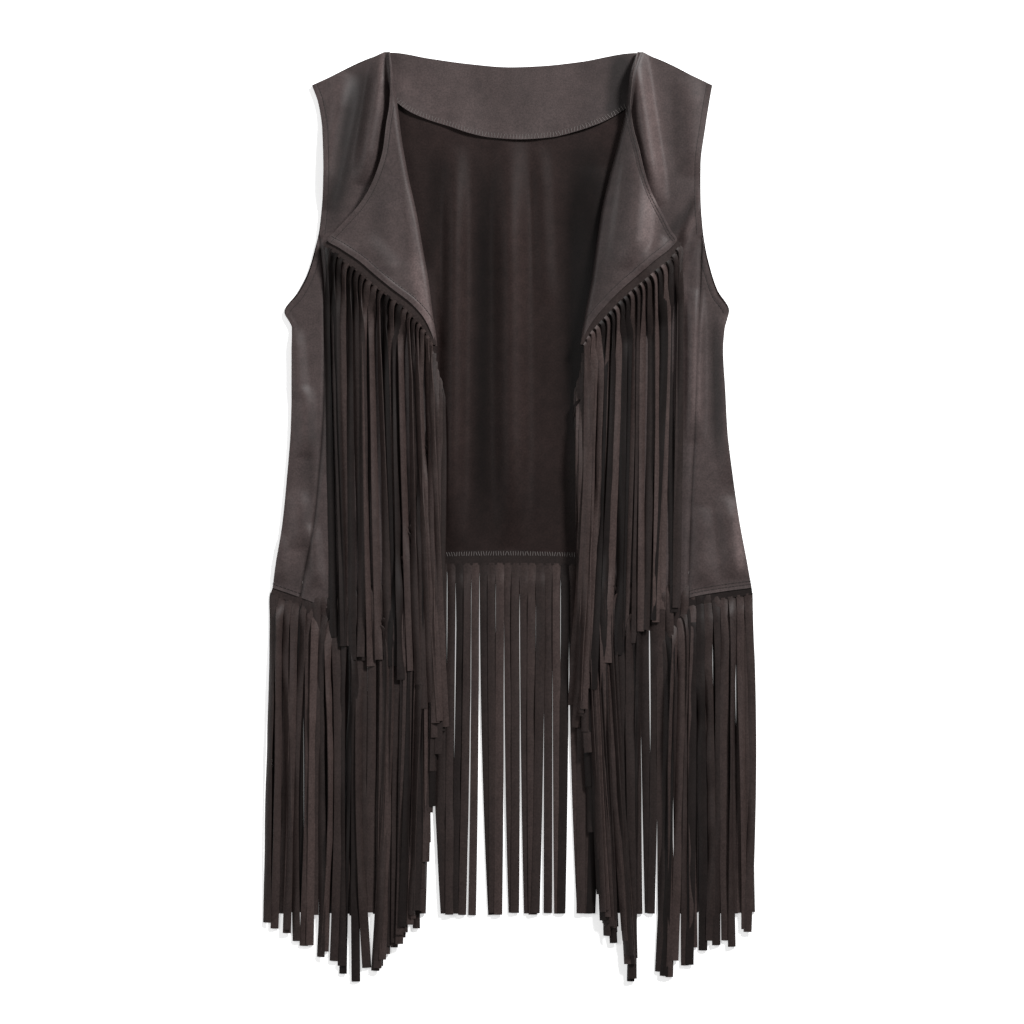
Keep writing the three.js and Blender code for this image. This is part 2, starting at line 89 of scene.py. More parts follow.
BACK_HEM = {
    "x": [-223, -169, -103, -63, 0, 54, 103, 169, 227],
    "y": [-66, -54, -39, -33, -32, -33, -40, -51, -66],
}
FACING_HEM = {
    "x": [-113, -94, -75, -56, -38, -19, 8, 38, 60, 81, 96, 120],
    "y": [395, 381, 373, 367, 361, 357, 355, 357, 362, 369, 376, 392],
}
FRONT_HEM = {
    "left": {"x": [127, 144, 169, 197, 223], "y": [-107, -97, -86, -75, -66]},
    "right": {"x": [130, 150, 167, 197, 227], "y": [-107, -90, -76, -70, -66]},
}
ROW_SLANT = {"y": [437, 366, 260, 161, 16, -63, -107], "outer": [406, 345, 250, 155, 20, -44, -75]}
SIDES = {"left": -1, "right": 1}
NECK_Y, LAPEL_POINT_Y, ROLL_END_Y, CORNER_Y = 437, 260, 161, -107


def smooth(table, key, column, place):
    """A smooth curve through a table's rows that never swings past them."""
    order = np.argsort(table[key])
    xs = np.array(table[key], float)[order]
    ys = np.array(table[column], float)[order]
    gap = np.diff(xs)
    slope = np.diff(ys) / gap
    bend = np.concatenate([slope[:1], np.zeros(len(slope) - 1), slope[-1:]])
    same = slope[:-1] * slope[1:] > 0
    bend[1:-1][same] = 2 / (1 / slope[:-1][same] + 1 / slope[1:][same])
    place = np.clip(np.asarray(place, float), xs[0], xs[-1])
    i = np.clip(np.searchsorted(xs, place) - 1, 0, len(gap) - 1)
    t = (place - xs[i]) / gap[i]
    start = (1 + 2 * t) * (1 - t) ** 2 * ys[i] + t * (1 - t) ** 2 * gap[i] * bend[i]
    return start + t**2 * (3 - 2 * t) * ys[i + 1] + t**2 * (t - 1) * gap[i] * bend[i + 1]


def edge_path(table, side, from_y, to_y, count=120):
    """Points along an edge of one side, as an array of x and y."""
    y = np.linspace(from_y, to_y, count)
    return np.stack([SIDES[side] * smooth(table, "y", side, y), y], axis=1)


def level_path(table, from_x, to_x, count=160, sign=1):
    """Points along an edge that runs across, as an array of x and y."""
    x = np.linspace(from_x, to_x, count)
    return np.stack([sign * x, smooth(table, "x", "y", x)], axis=1)


print("half width at the bust:", smooth(SIDE_EDGE, "y", "left", 150.0))

# %% [markdown]
# ## Creases
# Laid cloth keeps soft ridges where it was carried or folded. A cloth simulation would settle
# them anywhere, and here each has its place in the picture, so every ridge is a row of a table:
# a line from one end to the other, a half width and a height. Each fades out at its two ends.
# Light and shade are also painted into the suede's colour, lighter on ridges and darker in troughs.
# Those painted strokes are rows of the same kind, with a share of lightness in place of the height.

# %% Crease tables
CREASE_COLUMNS = ("from_x", "from_y", "to_x", "to_y", "width", "height")
BACK_CREASES = [
    (-51, 350, -54, -30, 15, 8.0),
    (0, 362, 2, -28, 21, 10.0),
    (86, 330, 84, -40, 34, 8.0),
    (-88, 240, -84, 10, 22, 3.5),
    (28, 350, 34, 200, 12, 2.5),
]
FRONT_CREASES = {
    "left": [
        (-117, 440, -138, 312, 15, 8.0),
        (-154, 418, -180, 290, 17, 6.0),
        (-148, 210, -160, 40, 22, 2.5),
        (-193, 124, -192, 56, 13, 3.5),
        (-199, 26, -195, -30, 14, 3.5),
        (-186, -6, -181, -66, 10, 3.0),
        (-203, 178, -198, 110, 12, 3.0),
        (-96, 100, -142, -84, 24, 2.5),
        (-214, -16, -217, -62, 11, 2.0),
    ],
    "right": [
        (115, 446, 138, 292, 14, 8.5),
        (182, 308, 158, 232, 10, 5.0),
        (168, 415, 172, 320, 18, 3.0),
        (174, 215, 174, 70, 12, 5.0),
        (203, 190, 208, 30, 14, 4.5),
        (203, 20, 211, -58, 15, 4.5),
        (180, 10, 184, -66, 15, 3.0),
        (88, 100, 134, -84, 24, 2.5),
    ],
}
LAPEL_CREASES = {
    "left": [(-101, 372, -84, 225, 9, 3.0), (-84, 225, -76, 185, 8, 1.5), (-140, 262, -108, 228, 16, 1.5)],
    "right": [(124, 340, 114, 232, 18, 5.5), (146, 262, 118, 226, 9, 2.0), (104, 372, 84, 230, 8, 1.5)],
}

# Strokes of painted light and shade: the same columns, with a share of lightness in place of the height.
# Painted shade: dark bands for the shade in the back's troughs and under the right front, darker towards the
# hem; the light bands are painted highlights on its ridges.
PAINTED_SHADING_BACK = [
    (-24, 350, -26, -21, 15, -0.7),
    (-66, 350, -76, 230, 13, -0.45),
    (73, 360, 70, 60, 33, -1.0),
    (70, 90, 66, -40, 24, -0.2),
    (-47, 340, -50, 40, 9, 0.15),
    (7, 350, 8, 0, 17, 0.25),
    (0, 60, 0, -120, 190, -0.15),
]
# Painted highlights beside the neck slits and on ridges that face the light, and painted shade in the troughs
# between them.
PAINTED_SHADING_FRONTS = {
    "left": [
        (-166, 424, -168, 300, 15, 0.35),
        (-137, 432, -170, 270, 17, -0.85),
        (-119, 444, -123, 375, 4, 0.7),
        (-196, 120, -197, 60, 11, 0.2),
        (-186, 110, -188, -10, 6, -0.25),
        (-205, 20, -202, -45, 9, 0.35),
        (-199, 80, -204, -10, 10, 0.2),
    ],
    "right": [
        (126, 440, 142, 285, 15, 0.7),
        (154, 425, 162, 300, 15, -0.28),
        (178, 300, 148, 264, 9, -0.5),
        (180, 306, 163, 256, 6, 0.5),
        (163, 262, 166, 200, 6, 0.4),
        (175, 195, 175, 85, 8, 0.75),
        (192, 200, 194, 50, 8, -0.55),
        (202, 195, 206, 50, 6, 0.5),
        (214, 15, 217, -55, 8, 1.0),
    ],
}
# Painted highlights where the lapels bend towards the light, and painted shade along their rolls.
PAINTED_SHADING_LAPELS = {
    "left": [
        (-99, 372, -86, 225, 8, 0.3),
        (-90, 250, -76, 166, 10, 1.1),
        (-126, 330, -118, 220, 15, -0.28),
        (-150, 275, -130, 235, 10, 0.12),
    ],
    "right": [
        (133, 316, 128, 248, 13, 1.1),
        (112, 440, 84, 180, 22, -0.55),
        (80, 250, 72, 170, 12, -0.2),
    ],
}
# Painted highlights on the left of the facing and painted shade on its right, beside the right lapel.
PAINTED_SHADING_FACING = [
    (-60, 440, -60, 350, 70, 0.16),
    (-106, 418, -90, 392, 11, 0.3),
    (106, 440, 100, 370, 17, -0.95),
    (78, 440, 78, 350, 26, -0.2),
]
CLOTH = 1.0  # thickness of the shells
LAYER = 1.5  # from the middle of one layer to the middle of the next: the solids' spacing
FLOOR_LAYER = 0.6  # middle of the layer on the floor
ROLL_RADIUS = 5.0
LAPEL_LIFT = 2.0  # how much higher a wide lapel lies at its edge than at its roll
WIDE_LAPEL = 60.0
ROLL_FADE = 12.0  # a lapel's creases grow to their height this far out from the roll
END_FADE = 1.15  # over 1, so that a crease keeps its whole height along its middle
BROAD_WAVE, FINE_WAVE = 0.4, 0.12
# Painted light and shade: its middle, how far a stroke moves it, and its limits.
PAINTED_SHADING_MIDDLE, PAINTED_SHADING_REACH = 0.5, 0.2
PAINTED_SHADING_DARKEST, PAINTED_SHADING_LIGHTEST = 0.36, 0.7


def crease_lift(creases, x, y):
    """How far the ridges of a table lift the cloth at each place."""
    lift = np.zeros_like(np.asarray(x, float))
    for row in creases:
        crease = dict(zip(CREASE_COLUMNS, row))
        along_x = crease["to_x"] - crease["from_x"]
        along_y = crease["to_y"] - crease["from_y"]
        length2 = along_x**2 + along_y**2
        share = ((x - crease["from_x"]) * along_x + (y - crease["from_y"]) * along_y) / length2
        away = ((x - crease["from_x"]) * along_y - (y - crease["from_y"]) * along_x) / math.sqrt(length2)
        across = np.clip(1 - (away / crease["width"]) ** 2, 0, 1) ** 2
        fade = np.clip(END_FADE - abs(2 * share - 1) ** 3 * END_FADE, 0, 1)
        lift = lift + crease["height"] * across * fade
    return lift


def soft_waves(x, y):
    """The cloth's own slight unevenness, between the creases."""
    broad = np.sin(x / 17 + 0.7 * np.sin(y / 41)) * np.sin(y / 29 + x / 83 + 1.1)
    fine = np.sin(x / 7.3 + y / 23) * np.sin(y / 13.7 - x / 37)
    return BROAD_WAVE * (1 + broad) + FINE_WAVE * (1 + fine)


def painted_shading_value(strokes, x, y):
    """The painted light and shade strokes as an attribute about a half, which the suede material spreads to a
    shade.
    """
    return np.clip(PAINTED_SHADING_MIDDLE + PAINTED_SHADING_REACH * crease_lift(strokes, x, y), PAINTED_SHADING_DARKEST, PAINTED_SHADING_LIGHTEST)


def back_height(x, y):
    return FLOOR_LAYER + crease_lift(BACK_CREASES, x, y) + soft_waves(x, y)


def front_height(side, x, y):
    own = crease_lift(FRONT_CREASES[side], x, y) + 0.6 * soft_waves(y, x)
    return back_height(x, y) + LAYER + own


def lapel_height(side, x, y):
    """The folded-out lapel stands two bends of the roll above the front, a little more at its edge."""
    roll = smooth(ROLL_LINE, "y", side, y)
    width = smooth(LAPEL_EDGE, "y", side, y) - roll
    out = np.clip(np.abs(x) - roll - ROLL_RADIUS, 0, None)
    foot = front_height(side, SIDES[side] * (roll + ROLL_RADIUS), y)
    under = np.maximum(foot, 0.5 * (front_height(side, x, y) + foot))
    lift = LAPEL_LIFT * out / np.maximum(width, WIDE_LAPEL)
    near_roll = np.clip(out / ROLL_FADE, 0, 1)
    return under + 2 * ROLL_RADIUS + lift + near_roll * crease_lift(LAPEL_CREASES[side], x, y)


print("highest crease of the back:", float(back_height(np.array([-2.0]), np.array([200.0]))[0]), "mm")

# %% [markdown]
# ## Suede
# Faux suede is a brushed microfibre: a short nap that lies in patches, lighter or darker with
# its direction, with a soft sheen at grazing angles. Noise at three sizes gives the patches, the
# mottle and the fibre, and the sheen is set on the shader itself. A photographed texture would
# stretch at the folds; noise on object coordinates doesn't.


# %% Material helpers
def feed(tree, made, sockets):
    """Fill a node's sockets by name or number: an output is linked, a plain value is set."""
    for name, value in sockets.items():
        if isinstance(value, bpy.types.NodeSocket):
            tree.links.new(value, made.inputs[name])
        else:
            made.inputs[name].default_value = value


def node(tree, kind, sockets=None, **values):
    """Add a node, set its plain properties and fill its sockets."""
    made = tree.nodes.new(kind)
    for name, value in values.items():
        setattr(made, name, value)
    feed(tree, made, sockets or {})
    return made


def new_material(name, finish):
    """A material whose shader's own sockets are set by name."""
    material = bpy.data.materials.new(name)
    material.use_nodes = True
    feed(material.node_tree, material.node_tree.nodes["Principled BSDF"], finish)
    return material


def noise(tree, coords, scale, detail=3.0, stretch=(1, 1, 1)):
    """Noise of a size given as repeats a metre, stretched along an axis if asked."""
    mapping = node(tree, "ShaderNodeMapping", {"Vector": coords, "Scale": stretch})
    sockets = {"Vector": mapping.outputs["Vector"], "Scale": scale, "Detail": detail}
    return node(tree, "ShaderNodeTexNoise", sockets).outputs["Fac"]


def shade_by(tree, colour, factor, strength):
    """Multiply a colour by a factor that is first spread to both sides of 1."""
    limits = {"From Min": 0.3, "From Max": 0.7, "To Min": 1 - strength, "To Max": 1 + strength}
    spread = node(tree, "ShaderNodeMapRange", {"Value": factor, **limits})
    sockets = {"Factor": 1.0, "A": colour, "B": spread.outputs["Result"]}
    return node(tree, "ShaderNodeMix", sockets, data_type="RGBA", blend_type="MULTIPLY").outputs["Result"]


PATCH_SCALE, MOTTLE_SCALE, FIBRE_SCALE, STREAK_SCALE, BUMP_SCALE = 14, 110, 620, 22, 1500
FIBRE_STRENGTH = 0.24
SHEEN_TINT = (0.86, 0.8, 0.78, 1)


def suede(name, colour, sheen, gloss=0.3, patch=0.14, mottle=0.14, streak=0.0, mark=None, marked=1.0):
    """Brushed faux suede: patches and a finer mottle of its own tone, painted light and shade from an
    attribute, fibre and sheen.
    """
    material = new_material(name, {})
    tree = material.node_tree
    coords = node(tree, "ShaderNodeTexCoord").outputs["Object"]
    base = node(tree, "ShaderNodeRGB")
    base.outputs[0].default_value = (*colour, 1)
    out = shade_by(tree, base.outputs[0], noise(tree, coords, PATCH_SCALE), patch)
    out = shade_by(tree, out, noise(tree, coords, MOTTLE_SCALE, 4), mottle)
    out = shade_by(tree, out, noise(tree, coords, FIBRE_SCALE, 2), FIBRE_STRENGTH)
    if streak:
        out = shade_by(tree, out, noise(tree, coords, STREAK_SCALE, 2, (1, 0.12, 1)), streak)
    if mark:
        attribute = node(tree, "ShaderNodeAttribute", attribute_name=mark)
        out = shade_by(tree, out, attribute.outputs["Fac"], marked)
    fine = noise(tree, coords, BUMP_SCALE)
    bump = node(tree, "ShaderNodeBump", {"Strength": 0.35, "Distance": 0.0003, "Height": fine})
    feed(tree, tree.nodes["Principled BSDF"], {
        "Base Color": out, "Normal": bump.outputs["Normal"], "Roughness": 0.52, "Specular IOR Level": gloss,
        "Sheen Weight": sheen, "Sheen Roughness": 0.45, "Sheen Tint": SHEEN_TINT,
    })
    return material


# The attribute that the suede and its wrong side read is painted light and shade, lighter on ridges and
# darker in troughs.
SUEDE = suede("brushed_suede", (0.043, 0.0305, 0.0295), 0.02, mark="painted_shading")
# The wrong side is a darker suede, painted darker still as the shade inside the vest.
SUEDE_WRONG_SIDE_AND_PAINTED_SHADE = suede("suede_wrong_side_and_painted_shade", (0.016, 0.0098, 0.009), 0.0, gloss=0.12, streak=0.14, mark="painted_shading")
SUEDE_EDGE = suede("cut_suede_edge", (0.062, 0.047, 0.045), 0.03)
# Each strand's own tone and its painted light and shade come from the strand attribute.
FRINGE = suede(
    "fringe_suede", (0.026, 0.0178, 0.0164), 0.02,
    gloss=0.16, patch=0.08, mottle=0.12, mark="strand", marked=0.85,
)
print("materials:", [material.name for material in (SUEDE, SUEDE_WRONG_SIDE_AND_PAINTED_SHADE, SUEDE_EDGE, FRINGE)])

# %% [markdown]
# ## Cloth shells
# A panel is a grid of points on its height, and Solidify gives it the thickness of the cloth,
# with the wrong side and the cut edge as materials of their own. Modelling both faces by hand
# would double every table for nothing. Stitched hems and seams add a low band or a groove, by
# the distance of each point from the edge's path.


# %% Shell helpers
def away_from(path, x, y):
    """Each place's distance from a path."""
    flat = np.stack([x.ravel(), y.ravel()], axis=1)
    start, end = path[:-1], path[1:]
    best = np.full(len(flat), np.inf)
    for a, b in zip(start, end):
        run = b - a
        share = np.clip(((flat - a) @ run) / max(run @ run, 1e-9), 0, 1)
        best = np.minimum(best, np.hypot(*(flat - a - share[:, None] * run).T))
    return best.reshape(x.shape)


HEM_SLOPE = 1.2
STITCH_LINE = {"in": 0.6, "width": 0.8, "depth": 0.45}
SHARP_ANGLE = math.radians(50)


def hem_band(away, width, rise):
    """A turned hem: double cloth as wide as the band, with the stitch line sunk at its inner edge."""
    inside = np.clip((width - away) / HEM_SLOPE + 0.5, 0, 1)
    sunk = np.exp(-(((away - width + STITCH_LINE["in"]) / STITCH_LINE["width"]) ** 2))
    return rise * inside - STITCH_LINE["depth"] * sunk


def groove(away, depth, width):
    return -depth * np.exp(-((away / width) ** 2))


def placed(name, data):
    """An object for some data, linked to the scene."""
    made = bpy.data.objects.new(name, data)
    bpy.context.scene.collection.objects.link(made)
    return made


def shade_smooth(mesh):
    mesh.polygons.foreach_set("use_smooth", [True] * len(mesh.polygons))


def new_object(name, mesh, *materials):
    for material in materials:
        mesh.materials.append(material)
    shade_smooth(mesh)
    return placed(name, mesh)


def set_attribute(mesh, name, values):
    """Give each vertex of a mesh a value under a name."""
    mesh.attributes.new(name, "FLOAT", "POINT").data.foreach_set("value", values)


def grid_mesh(name, grid, keep=None, flip=False, painted_shading=None):
    """A mesh through a grid of points in millimetres, without the cells that keep drops."""
    rows, columns = grid.shape[:2]
    r, c = np.meshgrid(np.arange(rows - 1), np.arange(columns - 1), indexing="ij")
    kept = np.ones(r.shape, bool) if keep is None else keep(r, c)
    r, c = r[kept], c[kept]
    corners = [r * columns + c, (r + 1) * columns + c, (r + 1) * columns + c + 1, r * columns + c + 1]
    faces = np.stack(corners[::-1] if flip else corners, axis=1)
    used = np.unique(faces)
    renumber = np.zeros(rows * columns, int)
    renumber[used] = np.arange(len(used))
    mesh = bpy.data.meshes.new(name)
    points = grid.reshape(-1, 3)[used] * MM
    mesh.from_pydata(points.tolist(), [], renumber[faces].tolist())
    # painted light and shade, kept with each point
    if painted_shading is not None:
        set_attribute(mesh, "painted_shading", painted_shading.ravel()[used])
    return mesh


def as_plain(piece):
    """Put the modifiers' result in the mesh, with crisp cut edges."""
    solid = bpy.data.meshes.new_from_object(piece.evaluated_get(bpy.context.evaluated_depsgraph_get()))
    piece.modifiers.clear()
    piece.data = solid
    shade_smooth(solid)
    solid.set_sharp_from_angle(angle=SHARP_ANGLE)
    return piece


def shell(name, grid, materials, keep=None, flip=False, painted_shading=None):
    """A cloth piece: its mesh, its thickness and its three finishes."""
    piece = new_object(name, grid_mesh(name, grid, keep, flip, painted_shading), *materials)
    thick = piece.modifiers.new("thickness", "SOLIDIFY")
    thick.thickness = CLOTH * MM
    thick.offset = 0
    thick.material_offset = 1
    thick.material_offset_rim = 2
    return as_plain(piece)


def blend(a, b, share):
    return a + (b - a) * share


# %% [markdown]
# ## Back and neck facing
# The back is one panel, seen from its wrong side through the open fronts. Its columns follow the
# side edges and its rows run from the shoulders and neckline down to the curved hem, so that all
# four edges are exact without any cutting.

# %% Back
def back_grid(rows=190, columns=150):
    down = np.linspace(0, 1, rows)[:, None]
    across = np.linspace(-1, 1, columns)[None, :]
    outer_y = blend(BACK_TOP["y"][0], BACK_HEM["y"][0], down)
    left, right = (smooth(SIDE_EDGE, "y", side, outer_y) for side in SIDES)
    x = across * np.where(across < 0, left, right)
    y = blend(smooth(BACK_TOP, "x", "y", x), smooth(BACK_HEM, "x", "y", x), down)
    z = back_height(x, y)
    return np.stack([x, y, z], axis=2)


EDGE_LIFT = 1.2  # the facing's free lower edge stands off the back
EDGE_WAVE = {"height": 0.7, "length": 9.0}


def facing_grid(rows=34, columns=90):
    """The facing's ends follow the roll lines, found by going back and forth between x and y."""
    down = np.linspace(0, 1, rows)[:, None]
    across = np.linspace(0, 1, columns)[None, :]
    x = blend(-110.0, 115.0, across) + 0 * down
    for _ in range(4):
        y = blend(smooth(BACK_TOP, "x", "y", x), smooth(FACING_HEM, "x", "y", x), down)
        x = blend(-smooth(ROLL_LINE, "y", "left", y), smooth(ROLL_LINE, "y", "right", y), across)
    wave = EDGE_WAVE["height"] * np.sin(x / EDGE_WAVE["length"])
    z = back_height(x, y) + LAYER + EDGE_LIFT * down**3 + wave * down**4
    return np.stack([x, y, z], axis=2)


def flat_sheet(name, grid, strokes, materials):
    return shell(name, grid, materials, painted_shading=painted_shading_value(strokes, grid[..., 0], grid[..., 1]))


back = flat_sheet("back_cloth", back_grid(), PAINTED_SHADING_BACK, [SUEDE_WRONG_SIDE_AND_PAINTED_SHADE, SUEDE, SUEDE_EDGE])
facing = flat_sheet("neck_facing_cloth", facing_grid(), PAINTED_SHADING_FACING, [SUEDE, SUEDE_WRONG_SIDE_AND_PAINTED_SHADE, SUEDE_EDGE])
print("back faces:", len(back.data.polygons), "facing faces:", len(facing.data.polygons))

# %% [markdown]
# ## Fronts and side panels
# A front and its lapel are one cut piece. Its rows run across the panel, round the bend of the
# roll and out over the panel again, so the fold is real cloth and not two sheets that touch.
# The curved princess seam joins it to the side panel, and a groove marks the seam.


# %% Fronts
PANEL_COLUMNS, LAPEL_COLUMNS, ROLL_COLUMNS = 46, 52, 16
ROLL_SHARE = 0.3  # share of a lapel's columns that go round its roll
ROLL_LENGTH = 12  # below the lapel the roll flattens out over this length
LOW_Y = 20  # from here down the rows bend to meet the hem's curve
SEAM_HEM_Y, SIDE_HEM_Y = -75.0, -66.0  # the hem at the princess seam and at the side
SEAM_HEM_X = {"left": 197.0, "right": 167.0}
SEAM_DARKNESS = {"left": 0.11, "right": 0.05}
SEAM_WIDTH = 1.5


def princess_seam(side):
    return edge_path(PRINCESS_SEAM, side, 262, SEAM_HEM_Y, 90)


def seam_relief(side, x, y):
    """The turned armhole hem, the princess seam and the stitched hem, as low relief."""
    armhole = np.concatenate([
        edge_path(SIDE_EDGE, side, 406, 266, 60),
        edge_path(SIDE_PANEL_EDGE, side, 265, 180, 50),
    ])
    hem = FRONT_HEM[side]
    hem_path = level_path(hem, hem["x"][0], hem["x"][-1], 60, SIDES[side])
    relief = hem_band(away_from(armhole, x, y), width=5.5, rise=0.35)
    relief = relief + groove(away_from(princess_seam(side), x, y), depth=1.8, width=SEAM_WIDTH)
    return relief + hem_band(away_from(hem_path, x, y), width=3.4, rise=0.5)


def lapel_run(side, y, shares):
    """One row of the lapel: round the roll, then outwards, for each share of the way."""
    sign = SIDES[side]
    roll = float(smooth(ROLL_LINE, "y", side, y))
    width = max(0.0, float(smooth(LAPEL_EDGE, "y", side, y)) - roll)
    bend = math.pi if width >= ROLL_RADIUS else math.pi - math.asin(1 - width / ROLL_RADIUS)
    on_roll = ROLL_RADIUS * bend
    whole = on_roll + max(0.0, width - ROLL_RADIUS)
    roll_end = min(on_roll, whole * ROLL_SHARE)
    travelled = np.where(
        shares < ROLL_SHARE,
        roll_end * shares / ROLL_SHARE,
        blend(roll_end, whole, (shares - ROLL_SHARE) / (1 - ROLL_SHARE)),
    )
    curled = travelled <= on_roll + 1e-6
    angle = np.minimum(travelled, on_roll) / ROLL_RADIUS
    out = np.where(curled, ROLL_RADIUS * (1 - np.sin(angle)), ROLL_RADIUS + travelled - on_roll)
    x = sign * (roll + out)
    base = float(front_height(side, np.array([sign * (roll + ROLL_RADIUS)]), np.array([y]))[0])
    rising = base + ROLL_RADIUS * (1 - np.cos(angle))
    flat = lapel_height(side, x, np.full_like(x, y))
    z = np.where(curled, rising, flat)
    return np.stack([x, np.full_like(x, y), z], axis=1)


def front_rows():
    """Row heights of a front: closer together round the lapel's point."""
    rows = [np.linspace(NECK_Y, 285, 56), np.linspace(283, 240, 30), np.linspace(237.5, ROLL_END_Y, 32)]
    rows.append(np.linspace(156, CORNER_Y, 90))
    return np.concatenate(rows)


def panel_row(side, inner_y, shares):
    """One row of a front's panel, from its outer edge to the foot of the roll."""
    hem = FRONT_HEM[side]
    outer_y = float(smooth(ROW_SLANT, "y", "outer", inner_y))
    edge = SIDE_EDGE if outer_y >= 265 else PRINCESS_SEAM
    outer = float(smooth(edge, "y", side, outer_y))
    below = max(0.0, ROLL_END_Y - inner_y)
    to_foot = ROLL_RADIUS * max(0.0, 1 - below / ROLL_LENGTH)
    inner = float(smooth(ROLL_LINE, "y", side, inner_y)) + to_foot
    x = blend(outer, inner, shares)
    y = blend(outer_y, inner_y, shares)
    low = max(0.0, (inner_y - LOW_Y) / (CORNER_Y - LOW_Y))
    straight = np.interp(x, [hem["x"][0], SEAM_HEM_X[side]], [CORNER_Y, SEAM_HEM_Y])
    y = y + low**6 * (smooth(hem, "x", "y", x) - straight)
    x = SIDES[side] * x
    return np.stack([x, y, front_height(side, x, y)], axis=1)


def front_grid(side):
    """The rows of a front; below the lapel its columns shrink to the front edge."""
    shares = np.linspace(0, 1, PANEL_COLUMNS)
    lapel_shares = np.linspace(0, 1, LAPEL_COLUMNS + 1)[1:]
    grid = []
    for inner_y in front_rows():
        panel = panel_row(side, inner_y, shares)
        if inner_y >= ROLL_END_Y:
            lapel = lapel_run(side, inner_y, lapel_shares)
        else:
            lapel = np.repeat(panel[-1:], LAPEL_COLUMNS, axis=0)
        grid.append(np.concatenate([panel, lapel]))
    grid = np.array(grid)
    panel_part = grid[:, :PANEL_COLUMNS]
    panel_part[..., 2] += seam_relief(side, panel_part[..., 0], panel_part[..., 1])
    return grid


def stitch_bands(side, grid):
    """The lapel's turned edge and its stitched hem, as low bands on the part that lies flat."""
    lapel = grid[:, PANEL_COLUMNS + ROLL_COLUMNS :]
    curve = edge_path(LAPEL_EDGE, side, NECK_Y, LAPEL_POINT_Y)
    hem = edge_path(LAPEL_EDGE, side, LAPEL_POINT_Y, ROLL_END_Y)
    x, y = lapel[..., 0], lapel[..., 1]
    width = smooth(LAPEL_EDGE, "y", side, y) - smooth(ROLL_LINE, "y", side, y)
    wide = np.clip((width - 6) / 14, 0, 1) ** 2
    lapel[..., 2] += wide * hem_band(away_from(curve, x, y), width=4.6, rise=0.4)
    lapel[..., 2] += wide * hem_band(away_from(hem, x, y), width=6.4, rise=0.6)
    return grid


def seam_line_and_painted_shading(side, x, y):
    """The painted light and shade strokes of a front or side panel, with the dark line of its princess seam.
    """
    line = SEAM_DARKNESS[side] * np.exp(-((away_from(princess_seam(side), x, y) / SEAM_WIDTH) ** 2))
    return painted_shading_value(PAINTED_SHADING_FRONTS[side], x, y) - line


def front(side):
    grid = stitch_bands(side, front_grid(side))
    x, y = grid[..., 0], grid[..., 1]
    # painted light and shade on the panel, and the lapel's own strokes of it
    painted_shading = seam_line_and_painted_shading(side, x, y)
    painted_shading[:, PANEL_COLUMNS:] = painted_shading_value(PAINTED_SHADING_LAPELS[side], x, y)[:, PANEL_COLUMNS:]
    last_lapel_row = int(np.sum(front_rows() >= ROLL_END_Y)) - 1
    return shell(
        f"front_{side}_cloth",
        grid,
        [SUEDE, SUEDE, SUEDE_EDGE],
        keep=lambda r, c: (c < PANEL_COLUMNS - 1) | (r < last_lapel_row),
        flip=side == "right",
        painted_shading=painted_shading,
    )


def side_panel(side, rows=120, columns=24):
    seam_y = np.linspace(263, SEAM_HEM_Y, rows)[:, None]
    across = np.linspace(0, 1, columns)[None, :]
    edge_y = np.where(seam_y > 0, seam_y, seam_y * SIDE_HEM_Y / SEAM_HEM_Y)
    seam_x = smooth(PRINCESS_SEAM, "y", side, seam_y) + 0.4
    x = blend(seam_x, smooth(SIDE_PANEL_EDGE, "y", side, edge_y), across)
    y = blend(seam_y, edge_y, across)
    low = np.clip((seam_y - LOW_Y) / (SEAM_HEM_Y - LOW_Y), 0, 1)
    y = y + low**6 * (smooth(FRONT_HEM[side], "x", "y", x) - blend(SEAM_HEM_Y, SIDE_HEM_Y, across))
    x = SIDES[side] * x
    z = front_height(side, x, y) + seam_relief(side, x, y)
    grid = np.stack([x, y, z], axis=2)
    return shell(
        f"side_{side}_cloth", grid, [SUEDE, SUEDE, SUEDE_EDGE], flip=side == "left", painted_shading=seam_line_and_painted_shading(side, x, y)
    )


fronts = {side: front(side) for side in SIDES}
side_panels = {side: side_panel(side) for side in SIDES}
print("front faces:", {side: len(fronts[side].data.polygons) for side in SIDES})

# %% [markdown]
# ## Fringe
# Fringe is a strip of suede cut into strands almost up to the seam. The strands leave the seam
# square to it, turn down the garment and lie over whatever is under them: over each other, over
# the back's fringe, over the fronts. A rigid body drop of two hundred limp ribbons would be slow
# and never land the same way twice, so each strand is laid in turn on a map of heights. It leans
# where its two edges find different heights, and then it raises the map itself.

# %% A map of heights
MAP_STEP_X, MAP_STEP_Y = 1.0, 4.0
MAP_LEFT, MAP_LOW = -245.0, -445.0
FLOOR_TOP = 0.4
DOWN = Vector((0, 0, -1))
heights = np.full((224, 491), FLOOR_TOP)


def look_at(piece):
    """A piece's faces, sorted so that a line of sight finds the one that it meets."""
    vertices = [vertex.co[:] for vertex in piece.data.vertices]
    return BVHTree.FromPolygons(vertices, [tuple(polygon.vertices) for polygon in piece.data.polygons])


def top_at(tree, x, y):
    """How high a piece's top is at a place, or None where the piece isn't."""
    hit = tree.ray_cast(Vector((x * MM, y * MM, 1.0)), DOWN)[0]
    return None if hit is None else hit.z / MM


def raise_map(pieces):
    """Write the tops of the cloth pieces into the map, found by looking straight down."""
    trees = [look_at(piece) for piece in pieces]
    for row, column in np.ndindex(heights.shape):
        x, y = MAP_LEFT + column * MAP_STEP_X, MAP_LOW + row * MAP_STEP_Y
        for tree in trees:
            top = top_at(tree, x, y)
            if top is not None:
                heights[row, column] = max(heights[row, column], top)


